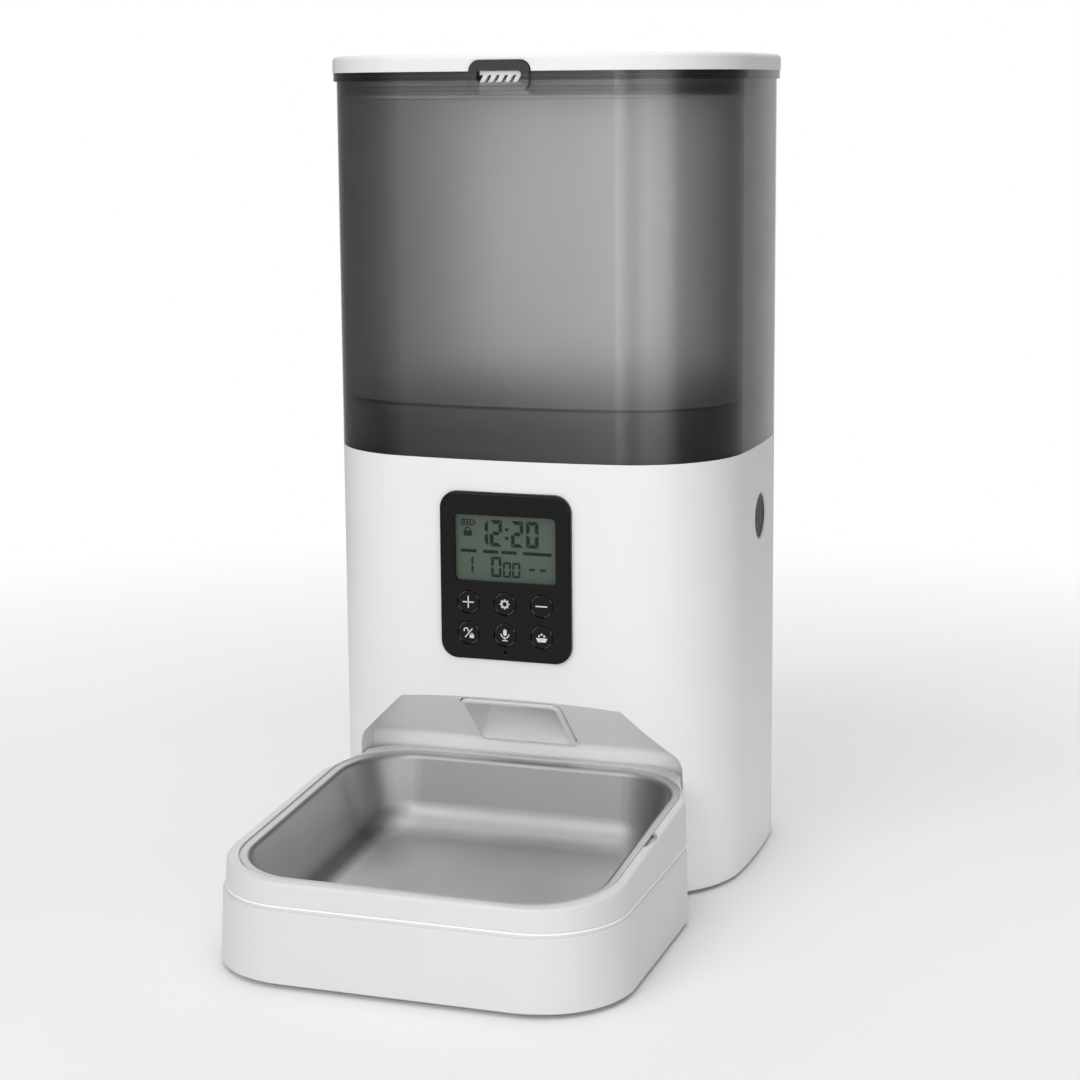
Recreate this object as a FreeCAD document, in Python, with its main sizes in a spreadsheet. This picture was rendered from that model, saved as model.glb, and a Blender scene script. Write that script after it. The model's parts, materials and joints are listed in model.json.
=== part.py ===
import FreeCAD, Part
import math
import os

import Sketcher

# Floor-standing dry-food feeder: a smoky lift-off tank with a hinged lid on a white electronics base, and a
# pull-out tray with a steel bowl in a niche at the foot of the base.
# Millimetres, +Z up. The front, with the bowl, looks along -Y. The origin is on the floor, at the middle of
# the whole object's width and depth.

doc = FreeCAD.newDocument("dry_food_feeder")
sheet = doc.addObject("Spreadsheet::Sheet", "Sizes")

SIZES = {
    # whole object
    "body_y": 67.6,
    "foot_height": 2.0,
    # plan outline of the base and tank: eight tangent arcs
    "outline_width": 197.0,
    "outline_depth": 164.0,
    "outline_front_radius": 443.0,
    "outline_side_radius": 410.0,
    "outline_corner_radius": 52.3,
    # heights above the floor
    "parting_z": 201.0,
    "rim_z": 374.4,
    "lid_top_z": 382.0,
    # walls and general fits
    "housing_wall": 2.5,
    "tank_wall": 2.2,
    "shell_gap": 0.3,
    "shaft_gap": 0.05,
    # niche for the tray
    "niche_half_width": 79.0,
    "niche_shoulder_z": 64.0,
    "niche_top_half_width": 50.0,
    "niche_top_z": 91.0,
    "niche_back_y": -51.0,
    "niche_back_z": 63.0,
    "niche_corner": 12.0,
    "niche_back_corner": 5.0,
    # outlet window and chute, measured in the niche's sloping ceiling
    "window_width": 48.6,
    "window_length": 39.0,
    "window_corner": 5.0,
    "chute_wall": 2.0,
    "chute_lip": 1.6,
    "chute_top_width": 43.0,
    "chute_top_length": 28.0,
    # dosing chamber and wheel
    "wheel_y": 8.0,
    "chamber_radius": 47.0,
    "chamber_wall": 2.0,
    "chamber_floor_z": 114.0,
    "chamber_floor": 2.4,
    "deck_z": 144.0,
    "deck_thickness": 2.5,
    "wheel_radius": 46.4,
    "wheel_height": 22.0,
    "wheel_hub_radius": 11.0,
    "vane_thickness": 1.8,
    "vane_count": 6.0,
    "shaft_radius": 3.0,
    "bush_radius": 5.0,
    # wheel gearing
    "gear_module": 1.0,
    "gear_teeth": 36.0,
    "pinion_teeth": 12.0,
    "gear_width": 6.0,
    "gear_z": 101.4,
    "motor_radius": 15.0,
    "motor_height": 32.0,
    "motor_shaft_radius": 2.0,
    # control panel
    "panel_width": 62.6,
    "panel_height": 77.4,
    "panel_bottom_z": 109.0,
    "panel_corner": 8.0,
    "panel_front_y": -83.8,
    "panel_back_y": -81.0,
    "lcd_width": 48.4,
    "lcd_height": 30.4,
    "lcd_bottom_z": 145.5,
    "key_radius": 5.3,
    "key_pitch": 17.6,
    "key_upper_z": 135.6,
    "key_lower_z": 121.2,
    # tank release buttons
    "release_radius": 10.9,
    "release_y": 1.5,
    "release_z": 166.5,
    "guide_inset": 20.0,
    "stem_radius": 4.0,
    # battery bay, three D cells
    "cell_radius": 16.8,
    "cell_length": 61.0,
    "cell_pitch": 35.2,
    "cell_z": 26.0,
    "bay_half_width": 53.3,
    "bay_front_y": -3.3,
    "bay_back_y": 63.8,
    "bay_height": 40.0,
    "plate_thickness": 2.5,
    "socket_z": 22.0,
    # lid, seal and hinge
    "lid_overhang": 1.84,
    "lid_plate": 2.6,
    "lid_rim_wall": 2.2,
    "lid_edge_radius": 2.3,
    "plug_inset": 3.9,
    "plug_wall": 2.0,
    "plug_bottom_z": 363.0,
    "flange_height": 3.9,
    "flange_overhang": 1.5,
    "hinge_y": 86.4,
    "hinge_radius": 4.0,
    "hinge_pin_radius": 1.5,
    "hinge_half_length": 38.0,
    "tank_knuckle_half_length": 21.6,
    # tank funnel
    "funnel_top_z": 228.0,
    "funnel_bottom_z": 152.0,
    "neck_bottom_z": 147.0,
    "neck_width": 90.0,
    "neck_corner": 38.0,
    # lid latch: loop on the tank, sprung catch in the lid
    "loop_half_width": 14.0,
    "loop_bottom_z": 365.6,
    "loop_top_z": 379.0,
    "loop_corner": 4.5,
    "slot_half_width": 10.4,
    "slot_bottom_z": 369.6,
    "slot_top_z": 374.6,
    "catch_half_width": 9.6,
    # tray
    "tray_width": 182.8,
    "tray_front_y": -225.6,
    "tray_back_y": -53.4,
    "tray_corner": 40.0,
    "tray_seam_z": 33.1,
    "tray_wall": 2.2,
    "tray_lower_draft": 2.6,
    "tray_upper_draft": 3.9,
    "tray_seam_step": 1.0,
    "tray_neck_half_width": 78.3,
    "tray_edge_y": -106.0,
    "tray_edge_x": 92.2,
    "tray_neck_y": -68.0,
    "notch_radius": 13.0,
    "notch_depth": 2.8,
    # bowl, in the tilted plane of the tray's rim
    "bowl_y": -137.9,
    "bowl_rim_z": 50.6,
    "bowl_tilt": 4.06,
    "bowl_width": 166.1,
    "bowl_length": 159.5,
    "bowl_corner": 34.0,
    "bowl_flange": 3.4,
    "bowl_flange_drop": 0.6,
    "bowl_sheet": 0.8,
    "bowl_depth": 35.0,
    "bowl_draft": 14.0,
    "bowl_floor_radius": 17.0,
    "bowl_lip_radius": 3.0,
    # screws
    "screw_radius": 1.45,
    "screw_head_radius": 2.9,
    "screw_head_height": 1.3,
    "boss_radius": 4.0,
    "tray_boss_radius": 2.8,
}

for row, (alias, value) in enumerate(SIZES.items(), start=1):
    sheet.set(f"A{row}", alias)
    sheet.set(f"B{row}", str(value))
    sheet.setAlias(f"B{row}", alias)
doc.recompute()


class Dim:
    """A size that keeps both its number and the sheet expression it comes from."""

    def __init__(self, value, text):
        self.value = float(value)
        self.text = text

    def __add__(self, other):
        other = dim(other)
        return Dim(self.value + other.value, f"({self.text} + {other.text})")

    def __sub__(self, other):
        other = dim(other)
        return Dim(self.value - other.value, f"({self.text} - {other.text})")

    def __mul__(self, other):
        other = dim(other)
        return Dim(self.value * other.value, f"({self.text} * {other.text})")

    def __truediv__(self, other):
        other = dim(other)
        return Dim(self.value / other.value, f"({self.text} / {other.text})")

    def __radd__(self, other):
        return dim(other) + self

    def __rsub__(self, other):
        return dim(other) - self

    def __rmul__(self, other):
        return dim(other) * self

    def __neg__(self):
        return dim(0) - self


def dim(value):
    """Return value as a Dim."""
    if isinstance(value, Dim):
        return value
    return Dim(value, f"({float(value)!r})")


class Sheet:
    """The sheet's cells as attributes."""

    def __getattr__(self, alias):
        return Dim(SIZES[alias], f"Sizes.{alias}")


S = Sheet()
sub_parts = {}


def keep(obj, node):
    """Register a finished sub-part under its node name."""
    obj.Label = node
    sub_parts[node] = obj
    return obj


def from_body(y):
    """Turn a depth measured from the body's middle into the object's frame."""
    return S.body_y + y


# ---------------------------------------------------------------- placing and combining

TURNS = {
    "z": (FreeCAD.Vector(1, 0, 0), 0),
    "-z": (FreeCAD.Vector(1, 0, 0), 180),
    "y": (FreeCAD.Vector(1, 0, 0), -90),
    "-y": (FreeCAD.Vector(1, 0, 0), 90),
    "x": (FreeCAD.Vector(0, 1, 0), 90),
    "-x": (FreeCAD.Vector(0, 1, 0), -90),
}


def put(obj, x=0, y=0, z=0, axis="z"):
    """Place an object with its own +Z along axis and bind its position to the sheet."""
    turn_axis, angle = TURNS[axis]
    obj.Placement = FreeCAD.Placement(FreeCAD.Vector(), FreeCAD.Rotation(turn_axis, angle))
    for letter, value in (("x", x), ("y", y), ("z", z)):
        obj.setExpression(f".Placement.Base.{letter}", dim(value).text)
    return obj


def block(name, x, y, z):
    """A box from its low and high bounds along each axis."""
    obj = doc.addObject("Part::Box", name)
    for prop, (low, high) in (("Length", x), ("Width", y), ("Height", z)):
        obj.setExpression(prop, (dim(high) - low).text)
    return put(obj, x[0], y[0], z[0])


def rod(name, radius, length, x=0, y=0, z=0, axis="z"):
    """A cylinder that starts at a point and runs along axis."""
    obj = doc.addObject("Part::Cylinder", name)
    obj.setExpression("Radius", dim(radius).text)
    obj.setExpression("Height", dim(length).text)
    return put(obj, x, y, z, axis)


def fuse(name, *pieces):
    obj = doc.addObject("Part::MultiFuse", name)
    obj.Shapes = list(pieces)
    obj.Refine = True
    return obj


def common(name, *pieces):
    obj = doc.addObject("Part::MultiCommon", name)
    obj.Shapes = list(pieces)
    return obj


def group(name, *pieces):
    """Separate solids that share one node."""
    obj = doc.addObject("Part::Compound", name)
    obj.Links = list(pieces)
    return obj


def cut(name, base, *tools):
    obj = doc.addObject("Part::Cut", name)
    obj.Base = base
    obj.Tool = tools[0] if len(tools) == 1 else group(name + "_tools", *tools)
    obj.Refine = True
    return obj


def fillet(name, base, radius, chosen):
    """Round the edges of base for which chosen(edge) is true."""
    doc.recompute()
    obj = doc.addObject("Part::Fillet", name)
    obj.Base = base
    size = dim(radius).value
    obj.Edges = [(i, size, size) for i, edge in enumerate(base.Shape.Edges, start=1) if chosen(edge)]
    return obj


def middle(edge):
    """The point half way along an edge."""
    return edge.valueAt((edge.FirstParameter + edge.LastParameter) / 2)


def is_along(edge, axis):
    """True for a straight edge parallel to axis 0, 1 or 2."""
    run = edge.Vertexes[-1].Point - edge.Vertexes[0].Point
    return run.Length > 0 and abs(run[axis]) > 0.999 * run.Length


# ---------------------------------------------------------------- sketches

SKETCH_TURNS = {
    "XY": FreeCAD.Rotation(),
    "XZ": FreeCAD.Rotation(FreeCAD.Vector(1, 0, 0), 90),
    "YZ": FreeCAD.Rotation(FreeCAD.Vector(1, 1, 1), 120),
}
OFFSET_LETTER = {"XY": "z", "XZ": "y", "YZ": "x"}


def free_sketch(name, plane="XY", at=0):
    """A sketch parallel to a principal plane, at a bound distance along its third axis."""
    sketch = doc.addObject("Sketcher::SketchObject", name)
    sketch.Placement = FreeCAD.Placement(FreeCAD.Vector(), SKETCH_TURNS[plane])
    sketch.setExpression(f".Placement.Base.{OFFSET_LETTER[plane]}", dim(at).text)
    return sketch


def body_sketch(body, name, role="XY_Plane", offset=0):
    """A sketch on one of the body's own origin planes."""
    sketch = body.newObject("Sketcher::SketchObject", name)
    plane = [feature for feature in body.Origin.OriginFeatures if feature.Role == role][0]
    sketch.AttachmentSupport = [(plane, "")]
    sketch.MapMode = "FlatFace"
    sketch.setExpression(".AttachmentOffset.Base.z", dim(offset).text)
    return sketch


def fix_point(sketch, geometry, vertex, x, y):
    """Hold a vertex at bound distances from the sketch's origin."""
    for kind, value in (("DistanceX", x), ("DistanceY", y)):
        index = sketch.addConstraint(Sketcher.Constraint(kind, geometry, vertex, dim(value).value))
        sketch.setExpression(f"Constraints[{index}]", dim(value).text)


def fix_radius(sketch, geometry, radius):
    index = sketch.addConstraint(Sketcher.Constraint("Radius", geometry, dim(radius).value))
    sketch.setExpression(f"Constraints[{index}]", dim(radius).text)


def arc_between(centre, radius, start, end):
    """A counter-clockwise arc from its end angles in radians."""
    circle = Part.Circle(FreeCAD.Vector(*centre, 0), FreeCAD.Vector(0, 0, 1), radius)
    return Part.ArcOfCircle(circle, start, end)


def draw_polygon(sketch, points):
    """A closed polygon with every corner bound to the sheet."""
    points = [(dim(x), dim(y)) for x, y in points]
    vectors = [FreeCAD.Vector(x.value, y.value, 0) for x, y in points]
    count = len(points)
    lines = [Part.LineSegment(vectors[i], vectors[(i + 1) % count]) for i in range(count)]
    sketch.addGeometry(lines, False)
    for i in range(count):
        sketch.addConstraint(Sketcher.Constraint("Coincident", i, 2, (i + 1) % count, 1))
    for i, (x, y) in enumerate(points):
        fix_point(sketch, i, 1, x, y)
    return sketch


def draw_circle(sketch, x, y, radius):
    centre = FreeCAD.Vector(dim(x).value, dim(y).value, 0)
    index = sketch.addGeometry(Part.Circle(centre, FreeCAD.Vector(0, 0, 1), dim(radius).value), False)
    fix_point(sketch, index, 3, x, y)
    fix_radius(sketch, index, radius)
    return sketch


def draw_rounded_rect(sketch, width, length, corner, x=0, y=0):
    """A rectangle with four equal round corners, centred on a bound point."""
    width, length, corner, x, y = dim(width), dim(length), dim(corner), dim(x), dim(y)
    reach_x = width / 2 - corner
    reach_y = length / 2 - corner
    first = sketch.GeometryCount
    signs = ((1, 1), (-1, 1), (-1, -1), (1, -1))
    centres = [(x + reach_x * sx, y + reach_y * sy) for sx, sy in signs]
    arcs = []
    for i, (cx, cy) in enumerate(centres):
        arcs.append(arc_between((cx.value, cy.value), corner.value, i * math.pi / 2, (i + 1) * math.pi / 2))
    lines = [Part.LineSegment(arcs[i].EndPoint, arcs[(i + 1) % 4].StartPoint) for i in range(4)]
    sketch.addGeometry(arcs + lines, False)
    for i, (cx, cy) in enumerate(centres):
        line = first + 4 + i
        sketch.addConstraint(Sketcher.Constraint("Tangent", first + i, 2, line, 1))
        sketch.addConstraint(Sketcher.Constraint("Tangent", line, 2, first + (i + 1) % 4, 1))
        fix_point(sketch, first + i, 3, cx, cy)
        fix_radius(sketch, first + i, corner)
    return sketch


def draw_body_outline(sketch, grow=0):
    """The body's plan outline, grown or, with a negative value, inset."""
    grow = dim(grow)
    middle_y = S.body_y
    front_radius = S.outline_front_radius + grow
    side_radius = S.outline_side_radius + grow
    corner_radius = S.outline_corner_radius + grow
    front_centre = S.outline_front_radius - S.outline_depth / 2
    side_centre = S.outline_side_radius - S.outline_width / 2
    # the corner arc's centre is where circles about the other two centres meet
    spread = math.hypot(front_centre.value, side_centre.value)
    front_reach = front_radius.value - corner_radius.value
    side_reach = side_radius.value - corner_radius.value
    along = (front_reach ** 2 - side_reach ** 2 + spread ** 2) / (2 * spread)
    across = math.sqrt(front_reach ** 2 - along ** 2)
    ux, uy = -side_centre.value / spread, front_centre.value / spread
    corner_x = along * ux + across * uy
    corner_y = -front_centre.value + along * uy - across * ux
    to_rear = math.atan2(corner_y + front_centre.value, corner_x)
    to_side = math.atan2(corner_y, corner_x + side_centre.value)
    y0 = middle_y.value
    arcs = []
    for quarter in range(4):
        turned = quarter * math.pi / 2
        flip_x = 1 if quarter in (0, 3) else -1
        flip_y = 1 if quarter in (0, 1) else -1
        if quarter % 2 == 0:
            span = (turned + to_side, turned + to_rear)
            main = ((0, y0 - flip_y * front_centre.value), front_radius.value,
                    turned + to_rear, turned + math.pi - to_rear)
        else:
            span = (turned + math.pi / 2 - to_rear, turned + math.pi / 2 - to_side)
            main = ((-flip_x * side_centre.value, y0), side_radius.value,
                    turned + math.pi / 2 - to_side, turned + math.pi / 2 + to_side)
        arcs.append(arc_between((flip_x * corner_x, y0 + flip_y * corner_y), corner_radius.value, *span))
        arcs.append(arc_between(*main))
    sketch.addGeometry(arcs, False)
    for i in range(8):
        sketch.addConstraint(Sketcher.Constraint("Tangent", i, 2, (i + 1) % 8, 1))
        radius = corner_radius if i % 2 == 0 else (front_radius if i in (1, 5) else side_radius)
        fix_radius(sketch, i, radius)
    fix_point(sketch, 1, 3, 0, middle_y - front_centre)
    fix_point(sketch, 5, 3, 0, middle_y + front_centre)
    fix_point(sketch, 3, 3, side_centre, middle_y)
    fix_point(sketch, 7, 3, -side_centre, middle_y)
    return sketch


# ---------------------------------------------------------------- solids from sketches

def extrude(name, sketch, length, both=False):
    """A solid from a free sketch, along the sketch's normal."""
    obj = doc.addObject("Part::Extrusion", name)
    obj.Base = sketch
    obj.DirMode = "Normal"
    obj.Solid = True
    obj.Symmetric = both
    obj.setExpression("LengthFwd", dim(length).text)
    return obj


def body_prism(name, low, high, grow=0):
    """A prism on the body's outline between two heights."""
    sketch = draw_body_outline(free_sketch(name + "_outline", "XY", low), grow)
    return extrude(name, sketch, dim(high) - low)


def rounded_prism(name, width, length, corner, x, y, low, high):
    sketch = draw_rounded_rect(free_sketch(name + "_outline", "XY", low), width, length, corner, x, y)
    return extrude(name, sketch, dim(high) - low)


def loft(name, *sections):
    obj = doc.addObject("Part::Loft", name)
    obj.Sections = list(sections)
    obj.Solid = True
    obj.Ruled = True
    return obj


def turned(name, profile, x=0, y=0, z=0, axis="z"):
    """A solid of revolution: profile points are radius and height, and +Z is laid along axis."""
    sketch = draw_polygon(free_sketch(name + "_profile", "XZ"), profile)
    obj = doc.addObject("Part::Revolution", name)
    obj.Source = sketch
    obj.Axis = FreeCAD.Vector(0, 0, 1)
    obj.Base = FreeCAD.Vector(0, 0, 0)
    obj.Angle = 360
    obj.Solid = True
    return put(obj, x, y, z, axis)


def new_body(name):
    return doc.addObject("PartDesign::Body", name)


def pad(body, sketch, length, backwards=False, draft=0):
    """Add material along the sketch's normal; draft narrows the pad as it rises."""
    feature = body.newObject("PartDesign::Pad", sketch.Name + "_pad")
    feature.Profile = sketch
    feature.Reversed = backwards
    feature.setExpression("Length", dim(length).text)
    if draft:
        feature.setExpression("TaperAngle", (-dim(draft)).text)
    return feature


def pocket(body, sketch, length, backwards=False):
    """Remove material against the sketch's normal, or along it when backwards."""
    feature = body.newObject("PartDesign::Pocket", sketch.Name + "_pocket")
    feature.Profile = sketch
    feature.Reversed = backwards
    feature.setExpression("Length", dim(length).text)
    return feature


# ---------------------------------------------------------------- fasteners and feet

def pan_screw(name, length, x, y, z, axis="z", radius=None, head_radius=None):
    """A pan-head screw: the head's outer face is at the point and the shank runs along axis."""
    radius = dim(radius) if radius else S.screw_radius
    head_radius = dim(head_radius) if head_radius else S.screw_head_radius
    edge = 0.35
    profile = [
        (0, 0),
        (head_radius - edge, 0),
        (head_radius, edge),
        (head_radius, S.screw_head_height),
        (radius, S.screw_head_height),
        (radius, S.screw_head_height + length - edge),
        (radius - edge, S.screw_head_height + length),
        (0, S.screw_head_height + length),
    ]
    body = turned(name + "_blank", profile, x, y, z, axis)
    # cross recess in the head
    reach, half_width, depth = 1.7, 0.275, 0.8
    recess_low = dim(z) if axis == "z" else dim(z) - depth
    arms = []
    for label, half_x, half_y in (("a", reach, half_width), ("b", half_width, reach)):
        arms.append(block(f"{name}_slot_{label}", (dim(x) - half_x, dim(x) + half_x),
                          (dim(y) - half_y, dim(y) + half_y), (recess_low, recess_low + depth)))
    return cut(name, body, fuse(name + "_cross", *arms))


def foot_pad(name, radius, x, y):
    """A round rubber foot on the floor, with a bevelled lower edge."""
    bevel = 0.8
    profile = [
        (0, 0),
        (dim(radius) - bevel, 0),
        (dim(radius), bevel),
        (radius, S.foot_height),
        (0, S.foot_height),
    ]
    return turned(name, profile, x, y, 0)


# ---------------------------------------------------------------- base: housing, plate, feet

BASE_BOSSES = ((70.0, -45.5), (60.0, 71.5))
DECK_BOSSES = ((60.0, -71.5), (60.0, 71.5))
MIRROR = (1, -1)


def niche_space(name, grow=0):
    """The niche's empty space: a shouldered front profile under a ceiling that slopes down to the back."""
    low = S.foot_height - 5
    above_floor = 20
    side = S.niche_half_width + grow
    # a lining of even thickness shifts the slanted corners by these shares of it
    shoulder_shift = dim(grow) * 0.6
    top_shift = dim(grow) * 1.35
    shoulder = S.niche_top_half_width + shoulder_shift
    shoulder_z = S.niche_shoulder_z + shoulder_shift
    top = S.niche_top_z + top_shift
    front = draw_polygon(free_sketch(name + "_front", "XZ", from_body(S.niche_back_y) + grow), [
        (-side, low),
        (side, low),
        (side, shoulder_z),
        (shoulder, top),
        (-shoulder, top),
        (-side, shoulder_z),
    ])
    ahead = -S.outline_depth / 2
    rise = (S.niche_top_z - S.niche_back_z) / (ahead - S.niche_back_y)
    run_out = 12.0
    back = from_body(S.niche_back_y) + grow
    profile = draw_polygon(free_sketch(name + "_side", "YZ", -side), [
        (from_body(ahead) - run_out, low),
        (back, low),
        (back, S.niche_back_z + top_shift + rise * grow),
        (from_body(ahead) - run_out, S.niche_top_z + top_shift - rise * run_out),
    ])
    depth = S.outline_depth / 2 + S.niche_back_y + run_out
    deep_blank = extrude(name + "_deep_blank", front, depth + grow)
    deep = fillet(name + "_deep", deep_blank, S.niche_corner + grow * 0.5,
                  lambda edge: is_along(edge, 1) and middle(edge).z > above_floor)
    wide_blank = extrude(name + "_wide_blank", profile, side * 2)
    wide = fillet(name + "_wide", wide_blank, S.niche_back_corner + grow * 0.5,
                  lambda edge: is_along(edge, 0) and middle(edge).z > above_floor and middle(edge).y > 0)
    return common(name, deep, wide)


# how far the outlet window sits behind the ceiling's middle
WINDOW_SHIFT = 0.6
CEILING_TURN = -math.degrees(math.atan2(
    (S.niche_top_z - S.niche_back_z).value,
    (S.outline_depth / 2 + S.niche_back_y).value,
))


def in_ceiling(sketch, offset):
    """Lay a sketch parallel to the niche's ceiling, at a height above the ceiling's middle."""
    angle = math.radians(CEILING_TURN)
    normal = FreeCAD.Vector(0, -math.sin(angle), math.cos(angle))
    mid_y = from_body((S.niche_back_y - S.outline_depth / 2) / 2)
    mid_z = (S.niche_top_z + S.niche_back_z) / 2
    turn = FreeCAD.Rotation(FreeCAD.Vector(1, 0, 0), CEILING_TURN)
    sketch.Placement = FreeCAD.Placement(FreeCAD.Vector(), turn)
    sketch.setExpression(".Placement.Base.y", (mid_y + dim(offset) * normal.y).text)
    sketch.setExpression(".Placement.Base.z", (mid_z + dim(offset) * normal.z).text)
    return sketch


def build_housing():
    low, high = S.foot_height, S.parting_z
    wall = S.housing_wall
    outer = body_prism("housing_outer", low, high)
    inner = body_prism("housing_inner", low - 1, high + 1, -wall)
    space = niche_space("niche")
    hollow = cut("housing_hollow", inner, niche_space("niche_lining", wall))
    shell = cut("housing_shell", outer, space, hollow)
    base_post, deck_post, pilot = 18, 22, 16
    bosses = []
    for side in MIRROR:
        for x, y in BASE_BOSSES:
            post = rod(f"base_boss_{x:g}_{y:g}_{side}", S.boss_radius, base_post,
                       side * x, from_body(y), S.foot_height + S.plate_thickness + 0.1)
            bosses.append(post)
        for x, y in DECK_BOSSES:
            post = rod(f"deck_boss_{x:g}_{y:g}_{side}", S.boss_radius, deck_post,
                       side * x, from_body(y), S.deck_z - deck_post)
            bosses.append(post)
    kept = common("housing_bosses", fuse("boss_posts", *bosses), body_prism("boss_limit", low, high, -1))
    solid = fuse("housing_with_bosses", shell, kept)
    holes = []
    for side in MIRROR:
        for x, y in BASE_BOSSES:
            holes.append(rod(f"base_pilot_{x:g}_{y:g}_{side}", S.screw_radius + S.shaft_gap, pilot,
                             side * x, from_body(y), S.foot_height + S.plate_thickness))
        for x, y in DECK_BOSSES:
            holes.append(rod(f"deck_pilot_{x:g}_{y:g}_{side}", S.screw_radius + S.shaft_gap, pilot,
                             side * x, from_body(y), S.deck_z - pilot))
        holes.append(rod(f"release_hole_{side}", S.release_radius + 0.3, 20,
                         side * (S.outline_width / 2 - 10), from_body(S.release_y), S.release_z,
                         "x" if side > 0 else "-x"))
    panel_gap = 0.2
    ledge = 2.5
    recess = rounded_slab("panel_recess", S.panel_width + panel_gap * 2, S.panel_height + panel_gap * 2,
                          S.panel_corner + panel_gap, panel_mid_z(), from_body(S.panel_back_y), -6)
    opening = rounded_slab("panel_opening", S.panel_width - ledge * 2, S.panel_height - ledge * 2,
                           S.panel_corner - ledge,
                           panel_mid_z(), from_body(S.panel_back_y) + 6, -12)
    holes += [recess, opening]
    window_gap = S.shell_gap * 2
    window = draw_rounded_rect(in_ceiling(free_sketch("window_outline"), -6), S.window_width + window_gap,
                               S.window_length + window_gap, S.window_corner, 0, WINDOW_SHIFT)
    holes.append(extrude("window_hole", window, 12))
    holes.append(rod("socket_hole", 4.3, 12, 0, from_body(74), S.socket_z, "y"))
    keep(cut("base_housing_solid", solid, *holes), "base_housing")


def panel_mid_z():
    return S.panel_bottom_z + S.panel_height / 2


def rounded_slab(name, width, height, corner, mid_z, y, thickness, x=0):
    """An upright rounded rectangle from depth y towards the back, or the front for a negative thickness."""
    thickness = dim(thickness)
    back = y + thickness if thickness.value > 0 else dim(y)
    sketch = draw_rounded_rect(free_sketch(name + "_outline", "XZ", back), width, height, corner, x, mid_z)
    length = thickness if thickness.value > 0 else -thickness
    return extrude(name, sketch, length)


def build_base_plate():
    low = S.foot_height
    high = low + S.plate_thickness
    plate = body_prism("plate_blank", low, high, -(S.housing_wall + S.shell_gap))
    tools = [niche_space("plate_niche", S.housing_wall + S.shell_gap)]
    tools.append(block("bay_hole", (-S.bay_half_width + 0.3, S.bay_half_width - 0.3),
                       (from_body(S.bay_front_y) + 0.3, from_body(S.bay_back_y) - 0.3), (low - 1, high + 1)))
    for side in MIRROR:
        for x, y in BASE_BOSSES:
            tools.append(rod(f"plate_hole_{x:g}_{y:g}_{side}", S.screw_radius + 0.3, 6,
                             side * x, from_body(y), low - 1))
            tools.append(rod(f"plate_sink_{x:g}_{y:g}_{side}", S.screw_head_radius + 0.3,
                             S.screw_head_height + 1.1, side * x, from_body(y), low - 1))
    # one grille hole in the middle and a ring of six
    ring_holes, ring_radius, hole_radius = 6, 7.0, 1.5
    for i in range(ring_holes + 1):
        reach = 0 if i == 0 else ring_radius
        angle = i * 2 * math.pi / ring_holes
        tools.append(rod(f"grille_{i}", hole_radius, 6, SPEAKER_X + reach * math.cos(angle),
                         from_body(SPEAKER_Y + reach * math.sin(angle)), low - 1))
    keep(cut("base_plate_solid", plate, *tools), "base_plate")
    screws = []
    for side in MIRROR:
        for x, y in BASE_BOSSES:
            screws.append(pan_screw(f"base_screw_{x:g}_{side}", 12, side * x, from_body(y), low + 0.02))
    keep(group("base_screw_set", *screws), "base_screws")
    feet = [foot_pad(f"base_foot_{side}_{y:g}", 7.0, side * x, from_body(y))
            for side in MIRROR for x, y in ((82.0, -28.0), (78.0, 50.0))]
    keep(group("base_foot_set", *feet), "base_feet")


SPEAKER_X = -74.0
SPEAKER_Y = 20.0


def build_speaker():
    low = S.foot_height + S.plate_thickness + 0.1
    rim, cone, magnet = 13.0, 11.5, 7.5
    rim_height, cone_height, height = 2.5, 4.0, 7.5
    profile = [
        (0, 0),
        (rim, 0),
        (rim, rim_height),
        (cone, cone_height),
        (magnet, cone_height),
        (magnet, height),
        (0, height),
    ]
    keep(turned("speaker_solid", profile, SPEAKER_X, from_body(SPEAKER_Y), low), "speaker")


# ---------------------------------------------------------------- battery bay

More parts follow.
